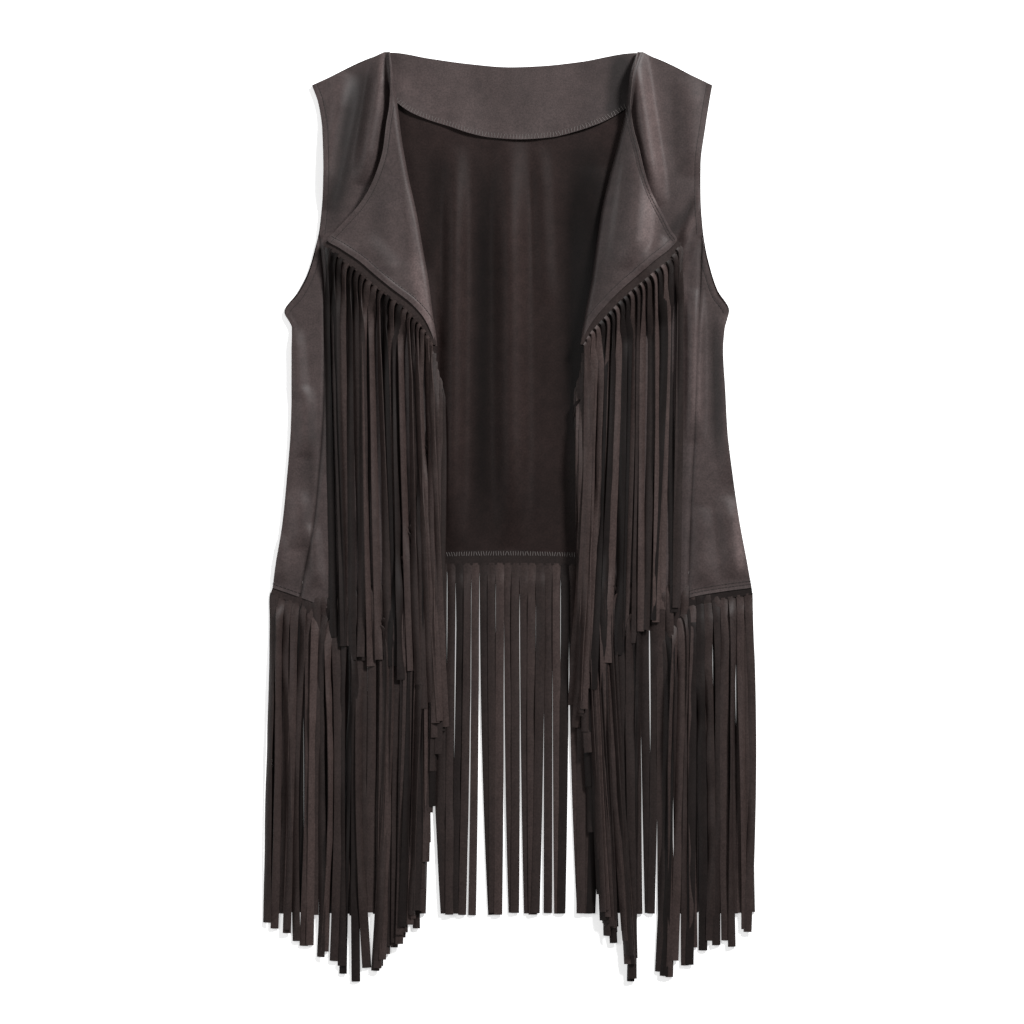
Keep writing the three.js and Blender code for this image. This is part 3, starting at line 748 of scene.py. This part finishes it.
def map_at(x, y):
    column = np.clip(np.rint((x - MAP_LEFT) / MAP_STEP_X).astype(int), 0, heights.shape[1] - 1)
    row = np.clip(np.rint((y - MAP_LOW) / MAP_STEP_Y).astype(int), 0, heights.shape[0] - 1)
    return row, column


raise_map([back, *fronts.values(), *side_panels.values()])
print("highest point on the map:", round(float(heights.max()), 1), "mm")

# %% Lay one strand
STRAND_WIDTH = 7.4
STRAND_THICKNESS = 0.9
STATIONS = 58
STATION_SPREAD = 1.25  # over 1, so that stations are closest together at the root
CEILING = 22.0  # no pile of strands grows past this height
MOST_RISE = 2.4  # how far one strand can raise the map
LEAN_EASE, HEIGHT_EASE, SWAY_EASE = 28, 16, 60  # how far from its root each sets in fully
MOST_LEAN = 1.25
SLOPE_FROM_ROOT = 0.3  # a strand falls from its root no steeper than this
CLEARANCE = 0.1
ACROSS = np.linspace(-0.5, 0.5, 7)
random = np.random.default_rng(11)
random = np.random.default_rng(11)


def spread_max(values, reach):
    padded = np.pad(values, reach, mode="edge")
    return np.max([padded[i : i + len(values)] for i in range(2 * reach + 1)], axis=0)


def spread_mean(values, reach):
    padded = np.pad(values, reach, mode="edge")
    return np.mean([padded[i : i + len(values)] for i in range(2 * reach + 1)], axis=0)


def strand_line(root, heading, end, sway, turn, drift):
    """The strand from above: it leaves the hem square to it, turns down and drifts to its end."""
    length = root[1] - end[1] + turn * (1 - abs(heading[1]))
    run = np.linspace(0, 1, STATIONS) ** STATION_SPREAD * length
    bent = turn * np.tanh(run / turn)
    share = run / length
    x = root[0] + heading[0] * bent + (end[0] - root[0] - heading[0] * turn) * share**drift
    x = x + sway[0] * np.sin(sway[1] + sway[2] * share * 3.0) * np.clip(run / SWAY_EASE, 0, 1)
    y = root[1] - (run - (1 - abs(heading[1])) * bent)
    return x, y, run, share


def strand_lean(x, y, run, share, lean, width, sway, root_lean, root_reach):
    """How far it leans at each station: its own turn, and the heights under its two edges."""
    eased = np.clip(run / LEAN_EASE, 0, 1)
    turning = eased * (0.8 + 0.35 * np.sin(sway[1] + share * sway[3])) * (1 - 0.75 * share**4)
    angle = lean * turning + root_lean * np.exp(-(((run - root_reach[0]) / root_reach[1]) ** 2))
    reach = 0.42 * width * np.cos(angle)
    low = heights[map_at(x - reach, y)]
    high = heights[map_at(x + reach, y)]
    settled = np.arctan2(spread_mean(high - low, 2), width) * eased
    return np.clip(spread_mean(angle + 0.8 * settled, 2), -MOST_LEAN, MOST_LEAN)


def strand_height(x, y, run, angle, width, root_z):
    """Its height at each station: on top of what is under it, and clear of the floor."""
    offsets = ACROSS[None, :] * width
    places = x[:, None] + offsets * np.cos(angle)[:, None]
    rises = offsets * np.sin(angle)[:, None]
    support = np.max(heights[map_at(places, np.repeat(y[:, None], len(ACROSS), axis=1))] - rises, axis=1)
    z = spread_mean(spread_max(support, 1), 2) + STRAND_THICKNESS / 2 + CLEARANCE
    z = np.maximum(z, root_z - SLOPE_FROM_ROOT * run)
    z = blend(root_z, z, np.clip(run / HEIGHT_EASE, 0, 1) ** 0.8)
    return np.maximum(z, 0.6 * width * np.abs(np.sin(angle)) + STRAND_THICKNESS / 2 + 1.1)


def pile_up(x, y, z, angle, width, run):
    """Raise the map under a strand, ever less near the ceiling: strands press each other flat."""
    rows = np.arange(heights.shape[0]) * MAP_STEP_Y + MAP_LOW
    level = rows[(rows < y[run > 10][0]) & (rows > y[-1])]
    before = heights.copy()
    middle_x, middle_z, lean = (np.interp(level, y[::-1], values[::-1]) for values in (x, z, angle))
    for offset in ACROSS * width:
        places = map_at(middle_x + offset * np.cos(lean), level)
        tops = middle_z + offset * np.sin(lean) + STRAND_THICKNESS / 2
        room = np.clip(1 - before[places] / CEILING, 0.02, 1)
        risen = before[places] + np.clip(tops - before[places], 0, MOST_RISE * room)
        np.maximum.at(heights, places, risen)


def lay_strand(root, heading, root_z, end, lean, width, sway, turn, root_lean, drift, root_reach):
    """Lay a strand over the map of heights: a path of points, with its lean at each."""
    x, y, run, share = strand_line(root, heading, end, sway, turn, drift)
    angle = strand_lean(x, y, run, share, lean, width, sway, root_lean, root_reach)
    z = strand_height(x, y, run, angle, width, root_z)
    pile_up(x, y, z, angle, width, run)
    return np.stack([x, y, z], axis=1), angle


# %% [markdown]
# The sweep itself is a Geometry Nodes tree: the paths become curves, each point's lean tilts the
# curve, and a flat cupped profile is swept along it. Width, thickness and cup are named inputs.


# %% The ribbon tree
def new_tree(name, sockets):
    """A node tree with named inputs, each one's identifier, its sockets and the tree's end."""
    tree = bpy.data.node_groups.new(name, "GeometryNodeTree")
    for way in ("INPUT", "OUTPUT"):
        tree.interface.new_socket("Geometry", in_out=way, socket_type="NodeSocketGeometry")
    names = {}
    for socket in (*sockets, "Material"):
        kind = "NodeSocketMaterial" if socket == "Material" else "NodeSocketFloat"
        names[socket] = tree.interface.new_socket(socket, in_out="INPUT", socket_type=kind).identifier
    return tree, names, node(tree, "NodeGroupInput").outputs, node(tree, "NodeGroupOutput")


def chain(tree, first, *nodes):
    """Link geometry through nodes, each by its first geometry socket."""
    for following in nodes:
        tree.links.new(first, following.inputs[0])
        first = following.outputs[0]
    return first


def finish_tree(tree, inputs, output, *nodes):
    """Link the tree's own nodes, and end with plain geometry in the material that is asked for."""
    realize = node(tree, "GeometryNodeRealizeInstances")
    finish = node(tree, "GeometryNodeSetMaterial", {"Material": inputs["Material"]})
    tree.links.new(chain(tree, inputs["Geometry"], *nodes, realize, finish), output.inputs[0])


def maths(tree, operation, a, b):
    return node(tree, "ShaderNodeMath", {0: a, 1: b}, operation=operation).outputs[0]


def named_value(tree, name):
    sockets = {"Name": name}
    return node(tree, "GeometryNodeInputNamedAttribute", sockets, data_type="FLOAT").outputs[0]


def cupped_profile(tree, inputs):
    """A flat rectangle whose two long edges are bent down, by the square of their distance."""
    sides = {"Width": inputs["Width"], "Height": inputs["Thickness"]}
    profile = node(tree, "GeometryNodeCurvePrimitiveQuadrilateral", sides)
    cuts = node(tree, "GeometryNodeSubdivideCurve", {"Cuts": 2})
    place = node(tree, "GeometryNodeInputPosition")
    parts = node(tree, "ShaderNodeSeparateXYZ", {0: place.outputs[0]})
    share = maths(tree, "DIVIDE", parts.outputs["X"], inputs["Width"])
    drop = maths(tree, "MULTIPLY", maths(tree, "MULTIPLY", share, share), inputs["Cup"])
    offset = node(tree, "ShaderNodeCombineXYZ", {"Y": drop})
    cupped = node(tree, "GeometryNodeSetPosition", {"Offset": offset.outputs[0]})
    return chain(tree, profile.outputs[0], cuts, cupped)


def ribbon_tree():
    tree, names, inputs, output = new_tree("ribbons", ("Width", "Thickness", "Cup"))
    curves = node(tree, "GeometryNodeMeshToCurve")
    upright = node(tree, "GeometryNodeSetCurveNormal", mode="Z_UP")
    tilt = node(tree, "GeometryNodeSetCurveTilt", {"Tilt": named_value(tree, "lean")})
    profile = {"Profile Curve": cupped_profile(tree, inputs), "Scale": named_value(tree, "size")}
    sweep = node(tree, "GeometryNodeCurveToMesh", {"Fill Caps": True, **profile})
    finish_tree(tree, inputs, output, curves, upright, tilt, sweep)
    return tree, names


def through_tree(name, mesh, tree, names, values):
    """Run a mesh through a node tree and keep the result as a plain object."""
    carrier = placed(name + "_paths", mesh)
    modifier = carrier.modifiers.new("nodes", "NODES")
    modifier.node_group = tree
    for key, value in values.items():
        modifier[names[key]] = value
    evaluated = carrier.evaluated_get(bpy.context.evaluated_depsgraph_get())
    made = bpy.data.meshes.new_from_object(evaluated)
    bpy.data.objects.remove(carrier)
    return placed(name, made)


RIBBONS, RIBBON_INPUTS = ribbon_tree()
CUP = 3.2
LEAST_SHADE, MOST_SHADE = 0.33, 0.75


def path_mesh(name, paths):
    """A mesh of open chains of edges."""
    edges, first = [], 0
    for path in paths:
        edges += [(first + i, first + i + 1) for i in range(len(path) - 1)]
        first += len(path)
    mesh = bpy.data.meshes.new(name)
    mesh.from_pydata((np.concatenate(paths) * MM).tolist(), edges, [])
    return mesh


def strand_mesh(name, paths, leans, shades):
    """The strands' paths, with the lean, the shade and the size of each point: roots are wider."""
    mesh = path_mesh(name, paths)
    set_attribute(mesh, "lean", np.concatenate(leans))
    set_attribute(mesh, "strand", np.repeat(shades, STATIONS))
    sizes = [random.normal(1, 0.05) + 0.12 * np.exp(-np.arange(STATIONS) / 2) for _ in paths]
    set_attribute(mesh, "size", np.concatenate(sizes))
    return mesh


def fringe(name, strands, strip, tones_and_painted_shading, width, strip_painted_shade):
    """Sweep the strands and join the uncut strip that they hang from."""
    paths, leans = zip(*strands)
    # A strand's shade: its own tone by chance, plus painted light and shade from a list, or a wave of lighter
    # and darker groups on the back.
    painted_shade_wave = 0.5 + np.sin(np.arange(len(paths)) * 1.9 + random.uniform(0, 6)) * 0.08
    chance = random.normal(0, 0.07, len(paths))
    shades = np.clip(chance + (painted_shade_wave if tones_and_painted_shading is None else tones_and_painted_shading), LEAST_SHADE, MOST_SHADE)
    values = {"Width": width * MM, "Thickness": STRAND_THICKNESS * MM, "Cup": CUP * MM, "Material": FRINGE}
    mesh = strand_mesh(name, paths, leans, shades)
    piece = through_tree(name, mesh, RIBBONS, RIBBON_INPUTS, values)
    strip_piece = shell(name + "_strip", strip, [FRINGE, FRINGE, FRINGE])
    # The strip is painted darker, as the shade under the hem that it hangs from.
    set_attribute(strip_piece.data, "strand", np.full(len(strip_piece.data.vertices), strip_painted_shade))
    with bpy.context.temp_override(active_object=piece, selected_editable_objects=[piece, strip_piece]):
        bpy.ops.object.join()
    shade_smooth(piece.data)
    piece.data.set_sharp_from_angle(angle=SHARP_ANGLE)
    print(name, len(paths), "strands,", len(piece.data.polygons), "faces")
    return piece


# %% [markdown]
# ### Three strips on each side and one along the back
# They are laid in the order in which they lie: the back hem's first, then the front hems', the
# front edges' and last the lapels'. Strands are laid one after the other along a hem, with a few
# out of turn, as fingers would leave them. Where a strand ends is read from a table by its root:
# how far the root is from the middle line, or how far down the front edge it is.


# %% Fringe helpers
STRIP_LAP = 1.5  # a strip starts this far above its hem, and strands start this far up the strip
SWAY_LIMITS = ((0, 6.3), (0.6, 1.6), (1.5, 5.0))


def out_of_turn(count, muddle=1.4):
    return np.argsort(np.arange(count) + random.uniform(-muddle, muddle, count))


def sway_values(size):
    """How far a strand sways, where in its sway it starts, how often it sways and how often it leans."""
    return (random.normal(0, size), *(random.uniform(*limits) for limits in SWAY_LIMITS))


def turned(least, most):
    """How far a strand is turned on its edge, to either side."""
    return random.choice([-1, 1]) * random.uniform(least, most)


END_COLUMNS = ("root", "x", "y")


def end_of(ends, sign, place, uneven_x, uneven_y):
    """Where a strand ends, by the table's rows on both sides of its root and a little chance."""
    column = dict(zip(END_COLUMNS, zip(*ends)))
    x = sign * np.interp(place, column["root"], column["x"]) + random.normal(0, uneven_x)
    return x, np.interp(place, column["root"], column["y"]) + random.normal(0, uneven_y)


def strip_grid(path, headings, z, depth):
    """The uncut strip: the hem's path, moved out in steps along its headings."""
    steps = np.linspace(0, 1, 5)[None, :] * (depth[:, None] + STRIP_LAP) - STRIP_LAP
    flat = path[:, None, :] + headings[:, None, :] * steps[..., None]
    heights_here = np.repeat(z[:, None], 5, axis=1)
    return np.concatenate([flat, heights_here[..., None]], axis=2)


def square_to(path, downward=True):
    """Unit headings square to a path, pointing down the garment."""
    run = np.gradient(path, axis=0)
    heading = np.stack([run[:, 1], -run[:, 0]], axis=1)
    heading = heading / np.linalg.norm(heading, axis=1)[:, None]
    return heading * np.where(heading[:, 1:2] > 0, -1, 1) if downward else heading


def lay_fringe(
    name, path, headings, z, end_at, count, depth, lean_of, sway, order=None, turn=22.0, tones_and_painted_shading=None,
    width=STRAND_WIDTH, root_lean_of=lambda number: 0.0, drift=1.3, strip_painted_shade=0.46, root_reach=(9, 14),
):
    """Lay a strip's strands: depth is the strip's own at each point, end_at gives an end for a root."""
    strands = [None] * count
    lengths = np.concatenate([[0], np.cumsum(np.hypot(*np.diff(path, axis=0).T))])
    for number in out_of_turn(count) if order is None else order:
        at = (number + 0.5) / count * lengths[-1]
        heading = np.array([np.interp(at, lengths, column) for column in headings.T])
        deep = np.interp(at, lengths, depth)
        root = np.array([np.interp(at, lengths, column) for column in path.T])
        root = root + heading * (deep - STRIP_LAP)
        strands[number] = lay_strand(
            root, heading, np.interp(at, lengths, z) + 0.15, end_at(root), lean_of(number), width,
            sway_values(sway), turn * deep / depth.max(), root_lean_of(number), drift, root_reach,
        )
    return fringe(name, strands, strip_grid(path, headings, z, depth), tones_and_painted_shading, width, strip_painted_shade)


# %% Back fringe
BACK_END_Y = -372
PARTING_WIDTH = 7
PARTINGS = [  # where the strands part, and how far; below 0 they close up
    (-73, 10), (-40, 3), (-26, 9), (-5, 4), (12, 4), (30, 4), (40, 3), (58, 8), (70, 3.5), (83, 7),
    (131.5, -2.5),
]


def parted(x):
    """Strands part to both sides of a few places and leave a gap down to the floor."""
    return x + sum(
        reach * np.sign(x - at) * np.exp(-(((x - at) / PARTING_WIDTH) ** 2)) for at, reach in PARTINGS
    )


def back_end(root):
    return parted(root[0] * 1.01) + random.normal(0, 0.7), BACK_END_Y + random.normal(0, 0.9)


back_path = level_path(BACK_HEM, -223, 227)
back_fringe = lay_fringe(
    "fringe_back_strands", back_path, square_to(back_path) * [0.0, 1.0], back_height(*back_path.T), back_end,
    60, np.full(len(back_path), 12.0), lambda number: random.normal(0, 0.2), 0.6,
    width=7.9, drift=2.2, strip_painted_shade=0.4,
)

# %% Front hem fringes
HEM_STRANDS = 14
HEM_ENDS = {
    "left": [(127, 126, -425), (144, 148, -431), (169, 175, -411), (197, 205, -391), (223, 230, -377)],
    "right": [(130, 127, -430), (150, 147, -425), (167, 168, -415), (197, 199, -401), (227, 230, -389)],
}
# Painted light and shade of each hem strand: dark for strands in shade, light for those that catch the light.
HEM_PAINTED_SHADING = {
    "left": [0.4, 0.38, 0.42, 0.39, 0.44, 0.58, 0.46, 0.64, 0.48, 0.6, 0.46, 0.56, 0.6, 0.52],
    "right": [0.35, 0.37, 0.52, 0.62, 0.45, 0.37, 0.42, 0.4, 0.46, 0.39, 0.52, 0.44, 0.56, 0.5],
}
# Painted shade on the hem strips, under the fronts' hems.
HEM_STRIP_PAINTED_SHADE = {"left": 0.48, "right": 0.36}


def hem_fringe(side):
    sign, hem = SIDES[side], FRONT_HEM[side]
    path = level_path(hem, hem["x"][0] + 1, hem["x"][-1], 80, sign)
    return lay_fringe(
        f"fringe_hem_{side}_strands", path, square_to(path), front_height(side, *path.T) - 0.4,
        lambda root: end_of(HEM_ENDS[side], sign, abs(root[0]), 1.5, 4.0),
        HEM_STRANDS, np.linspace(11, 6, len(path)), lambda number: turned(0.3, 1.1), 2.0,
        turn=8.0, width=7.8, tones_and_painted_shading=HEM_PAINTED_SHADING[side],
        root_lean_of=lambda number: -0.15 * sign, strip_painted_shade=HEM_STRIP_PAINTED_SHADE[side],
    )


hem_fringes = {side: hem_fringe(side) for side in SIDES}

# %% Front edge fringes
EDGE_STRANDS = 36
FLAT_ROOTS, FLAT_STRANDS = 6, 5  # the first strands, under the lapel, lie flat
# Painted light on the first, flat strands, which catch the light.
FIRST_PAINTED_LIGHT = [0.6, 0.64, 0.57, 0.62, 0.5]
EDGE_ENDS = {
    "left": [
        (-155, 65, -180), (-120, 67, -215), (-90, 74, -262), (-60, 84, -365), (0, 96, -380), (104, 126, -425),
    ],
    "right": [
        (-155, 62, -168), (-120, 66, -190), (-90, 72, -225), (-60, 85, -365), (0, 93, -385), (104, 118, -430),
    ],
}


def edge_headings(side, path):
    """Square to the front edge and towards the side, turning down the garment near the lapel."""
    inward = -square_to(path, downward=False) * (1 if side == "right" else -1)
    inward = inward * np.where(inward[:, :1] * SIDES[side] > 0, -1, 1)
    hanging = np.clip((path[:, 1:] - 115) / 40, 0, 0.75)
    inward = blend(inward, np.array([[0.0, -1.0]]), hanging)
    return inward / np.linalg.norm(inward, axis=1)[:, None]


def edge_fringe(side):
    sign = SIDES[side]
    path = edge_path(ROLL_LINE, side, 157, CORNER_Y)
    path[:, 0] += 4.5 * sign * np.clip((path[:, 1] - 122) / 35, 0, 1)
    return lay_fringe(
        f"fringe_edge_{side}_strands", path, edge_headings(side, path), front_height(side, *path.T) - 0.3,
        lambda root: end_of(EDGE_ENDS[side], sign, -root[1], 2.5, 7),
        EDGE_STRANDS, np.interp(path[:, 1], [CORNER_Y, 118, 157], [4.5, 4.5, 0.2]),
        lambda number: random.normal(0, 0.1) if number < FLAT_STRANDS else turned(0.2, 0.95), 1.2,
        tones_and_painted_shading=[*FIRST_PAINTED_LIGHT, *random.uniform(0.36, 0.6, EDGE_STRANDS - len(FIRST_PAINTED_LIGHT))],
        order=out_of_turn(EDGE_STRANDS)[::-1], turn=4.5,
        root_lean_of=lambda number: 0.0 if number < FLAT_ROOTS else -0.9 * sign,
    )


edge_fringes = {side: edge_fringe(side) for side in SIDES}

# %% Lapel fringes
LAPEL_STRANDS = 20
LAPEL_ENDS = {
    "left": [
        (70, 57, -205), (90, 81, -170), (105, 99, -142), (135, 131, -132), (155, 150, -122), (171, 168, -112),
    ],
    "right": [(67, 58, -200), (90, 82, -145), (110, 105, -122), (135, 133, -100), (156, 156, -84)],
}
# Painted light and shade of each lapel strand: dark for strands in shade under the lapel, light for those
# that are lit.
LAPEL_PAINTED_SHADING = {
    "left": [
        0.3, 0.32, 0.3, 0.6, 0.42, 0.44, 0.5, 0.62, 0.58, 0.6,
        0.36, 0.58, 0.34, 0.6, 0.36, 0.4, 0.62, 0.6, 0.66, 0.62,
    ],
    "right": [
        0.42, 0.5, 0.36, 0.75, 0.36, 0.64, 0.4, 0.56, 0.5, 0.54,
        0.34, 0.38, 0.62, 0.36, 0.58, 0.34, 0.6, 0.62, 0.56, 0.6,
    ],
}


def lapel_fringe(side):
    sign = SIDES[side]
    path = edge_path(LAPEL_EDGE, side, LAPEL_POINT_Y - 1, ROLL_END_Y + 1)
    depth = np.interp(np.linspace(0, 1, len(path)), [0, 0.12, 0.7, 1], [5.0, 9.0, 8.0, 3.0])
    return lay_fringe(
        f"fringe_lapel_{side}_strands", path, square_to(path), lapel_height(side, *path.T) - 1.1,
        lambda root: end_of(LAPEL_ENDS[side], sign, abs(root[0]), 2.0, 5),
        LAPEL_STRANDS, depth, lambda number: turned(0.2, 1.1), 1.8, turn=6.0, tones_and_painted_shading=LAPEL_PAINTED_SHADING[side],
        root_lean_of=lambda number: -0.95 * sign, root_reach=(16, 24),
    )


lapel_fringes = {side: lapel_fringe(side) for side in SIDES}

# %% [markdown]
# ## Stitching
# Topstitching holds the turned hems, and an overlock of pale thread runs over the facing's lower
# edge and the back's hem. Each line is a path dropped on its cloth; a node tree sets short thread
# rods along it, lengthwise for a stitch and crosswise for the overlock. A bump texture would
# show no thread at all from a step away.


# %% The stitch tree
def stitch_tree():
    """Rods set along a curve, each turned to lie along it or across, and slanted by chance."""
    tree, names, inputs, output = new_tree("stitches", ("Pitch", "Length", "Radius", "Turn", "Slant"))
    curves = node(tree, "GeometryNodeMeshToCurve")
    upright = node(tree, "GeometryNodeSetCurveNormal", mode="Z_UP")
    points = node(tree, "GeometryNodeCurveToPoints", {"Length": inputs["Pitch"]}, mode="LENGTH")
    sizes = {"Vertices": 6, "Radius": inputs["Radius"], "Depth": inputs["Length"]}
    rod = node(tree, "GeometryNodeMeshCylinder", sizes).outputs[0]
    crosswise = node(tree, "ShaderNodeCombineXYZ", {"Y": inputs["Turn"]}).outputs[0]
    stitch = node(tree, "GeometryNodeTransform", {"Geometry": rod, "Rotation": crosswise}).outputs[0]
    limits = {2: maths(tree, "MULTIPLY", inputs["Slant"], -1.0), 3: inputs["Slant"]}
    slant = node(tree, "FunctionNodeRandomValue", {"Seed": 5, **limits}, data_type="FLOAT").outputs[1]
    slanted = node(tree, "ShaderNodeCombineXYZ", {"Y": slant}).outputs[0]
    turns = {"Rotation": points.outputs["Rotation"], "Rotate By": slanted}
    rotation = node(tree, "FunctionNodeRotateRotation", turns, rotation_space="LOCAL").outputs[0]
    instances = node(tree, "GeometryNodeInstanceOnPoints", {"Instance": stitch, "Rotation": rotation})
    finish_tree(tree, inputs, output, curves, upright, points, instances)
    return tree, names


STITCHES, STITCH_INPUTS = stitch_tree()
DARK_THREAD = new_material("dark_thread", {"Base Color": (0.018, 0.014, 0.013, 1), "Roughness": 0.6})
PALE_THREAD = new_material("pale_thread", {"Base Color": (0.13, 0.115, 0.11, 1), "Roughness": 0.6})
TOPSTITCH = {"Pitch": 3.2 * MM, "Length": 2.5 * MM, "Radius": 0.26 * MM, "Turn": 0.0, "Slant": 0.0}
OVERLOCK = {"Pitch": 2.9 * MM, "Length": 4.4 * MM, "Radius": 0.24 * MM, "Turn": math.pi / 2, "Slant": 0.35}
BACK_OVERLOCK = dict(OVERLOCK, Pitch=2.3 * MM, Length=4.0 * MM)
THREAD_LIFT = 0.15


def drop_on(piece, path):
    """A path of x and y, laid on the top of a piece."""
    tree = look_at(piece)
    tops = [(x, y, top_at(tree, x, y)) for x, y in path]
    return np.array([(x, y, top + THREAD_LIFT) for x, y, top in tops if top is not None])


def inside_of(path, distance):
    """A path moved square to itself; left of its run for a positive distance."""
    run = np.gradient(path, axis=0)
    square = np.stack([-run[:, 1], run[:, 0]], axis=1) / np.hypot(*run.T)[:, None]
    return path + distance * square


def sew(name, piece, paths, kind, material):
    """Stitches of one kind along some paths of x and y, on top of a piece."""
    lines = [drop_on(piece, path) for path in paths]
    mesh = path_mesh(name, [line for line in lines if len(line) > 3])
    made = through_tree(name, mesh, STITCHES, STITCH_INPUTS, dict(kind, Material=material))
    print(name, len(made.data.polygons), "faces")
    return made


def front_paths(side):
    """Topstitching of a front: the lapel's edge and hem, and the armhole."""
    inwards = SIDES[side]
    curve = edge_path(LAPEL_EDGE, side, 385, LAPEL_POINT_Y + 2, 160)
    hem = edge_path(LAPEL_EDGE, side, LAPEL_POINT_Y - 2, ROLL_END_Y + 3, 160)
    arm = edge_path(SIDE_EDGE, side, 404, 268, 160)
    paths = [
        inside_of(curve, -4.6 * inwards),
        inside_of(hem, -6.2 * inwards),
        inside_of(arm, -5.2 * inwards),
    ]
    if side == "right":
        paths.append(inside_of(curve, -2.2 * inwards))
    return paths


HEM_STITCH_START = {"left": 198, "right": 168}
HEM_STITCH_ROWS = {"left": (3.6, 3.6), "right": (3.6, 6.6)}


def side_paths(side):
    """Topstitching of a side panel: the armhole and two rows along the hem."""
    hem = FRONT_HEM[side]
    arm = edge_path(SIDE_PANEL_EDGE, side, 264, 196, 90)
    row = level_path(hem, HEM_STITCH_START[side], hem["x"][-1] - 1, 90, SIDES[side])
    return [inside_of(arm, -5.0 * SIDES[side]), *(row + [0.0, up] for up in HEM_STITCH_ROWS[side])]


front_stitches = {
    side: sew(f"stitches_front_{side}", fronts[side], front_paths(side), TOPSTITCH, DARK_THREAD)
    for side in SIDES
}
side_stitches = {
    side: sew(f"stitches_side_{side}", side_panels[side], side_paths(side), TOPSTITCH, DARK_THREAD)
    for side in SIDES
}
facing_hem = level_path(FACING_HEM, -108, 114, 400) + [0.0, 2.6]
facing_stitches = sew("overlock_facing", facing, [facing_hem], OVERLOCK, PALE_THREAD)
back_hem = level_path(BACK_HEM, -215, 219, 500) - [0.0, 1.6]
back_stitches = sew("overlock_back", back_fringe, [back_hem], BACK_OVERLOCK, PALE_THREAD)

# %% [markdown]
# ## Handing the pieces to the frame
# Each shell stands for its solid and rides on the one body.

# %% Pieces and slots
PIECES = {
    "back": (back, "suede_inside"),
    "neck_facing": (facing, "suede"),
    "fringe_back": (back_fringe, "fringe_suede"),
}
for side in SIDES:
    PIECES[f"front_{side}"] = (fronts[side], "suede")
    PIECES[f"side_{side}"] = (side_panels[side], "suede")
    PIECES[f"fringe_hem_{side}"] = (hem_fringes[side], "fringe_suede")
    PIECES[f"fringe_edge_{side}"] = (edge_fringes[side], "fringe_suede")
    PIECES[f"fringe_lapel_{side}"] = (lapel_fringes[side], "fringe_suede")
for node_name, (piece, slot) in PIECES.items():
    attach(piece, "root")
    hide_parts(node_name)

STITCHING = [facing_stitches, back_stitches, *front_stitches.values(), *side_stitches.values()]
for piece in STITCHING:
    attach(piece, "root")

# %% [markdown]
# ## Floor, camera and lights
# The picture shows the vest from straight above on white. A long lens keeps the outline true.
# Wide soft lights give the floor its white and leave shade only under the lapels and the fringe.

# %% Stage
PHOTO_WIDTH = 1024 * 0.94 * MM
CAMERA_HEIGHT = 4.0
FLOOR_REACH, FLOOR_DROP = 3.0, 0.0004
FLOOR_CORNERS = ((-1, -1), (1, -1), (1, 1), (-1, 1))
floor_mesh = bpy.data.meshes.new("floor")
floor_points = [(FLOOR_REACH * x, FLOOR_REACH * y, -FLOOR_DROP) for x, y in FLOOR_CORNERS]
floor_mesh.from_pydata(floor_points, [], [(0, 1, 2, 3)])
floor_material = new_material("pale_floor", {
    "Base Color": (0.95, 0.95, 0.95, 1),
    "Emission Color": (1, 1, 1, 1),
    "Emission Strength": 0.5,
    "Roughness": 0.9,
    "Specular IOR Level": 0.1,
})
floor = new_object("floor", floor_mesh, floor_material)

camera_data = bpy.data.cameras.new("camera")
camera_data.sensor_width = 36
camera_data.lens = 36 * CAMERA_HEIGHT / PHOTO_WIDTH
camera = placed("camera", camera_data)
camera.location = (0.0019, 0.0052, CAMERA_HEIGHT)
bpy.context.scene.camera = camera

LIGHTS = {
    "key": {"place": (1.55, 1.9, 1.75), "size": 0.6, "power": 130},
    "fill": {"place": (-2.0, 0.5, 2.2), "size": 1.4, "power": 24},
}
for name, lamp in LIGHTS.items():
    data = bpy.data.lights.new(name, "AREA")
    data.shape = "DISK"
    data.size = lamp["size"]
    data.energy = lamp["power"]
    light = placed(name, data)
    light.location = lamp["place"]
    light.rotation_euler = (-Vector(lamp["place"])).to_track_quat("-Z", "Y").to_euler()

world = bpy.data.worlds.new("studio")
bpy.context.scene.world = world
world.use_nodes = True
feed(world.node_tree, world.node_tree.nodes["Background"], {"Color": (1, 1, 1, 1), "Strength": 0.2})
bpy.context.scene.view_settings.view_transform = "Standard"
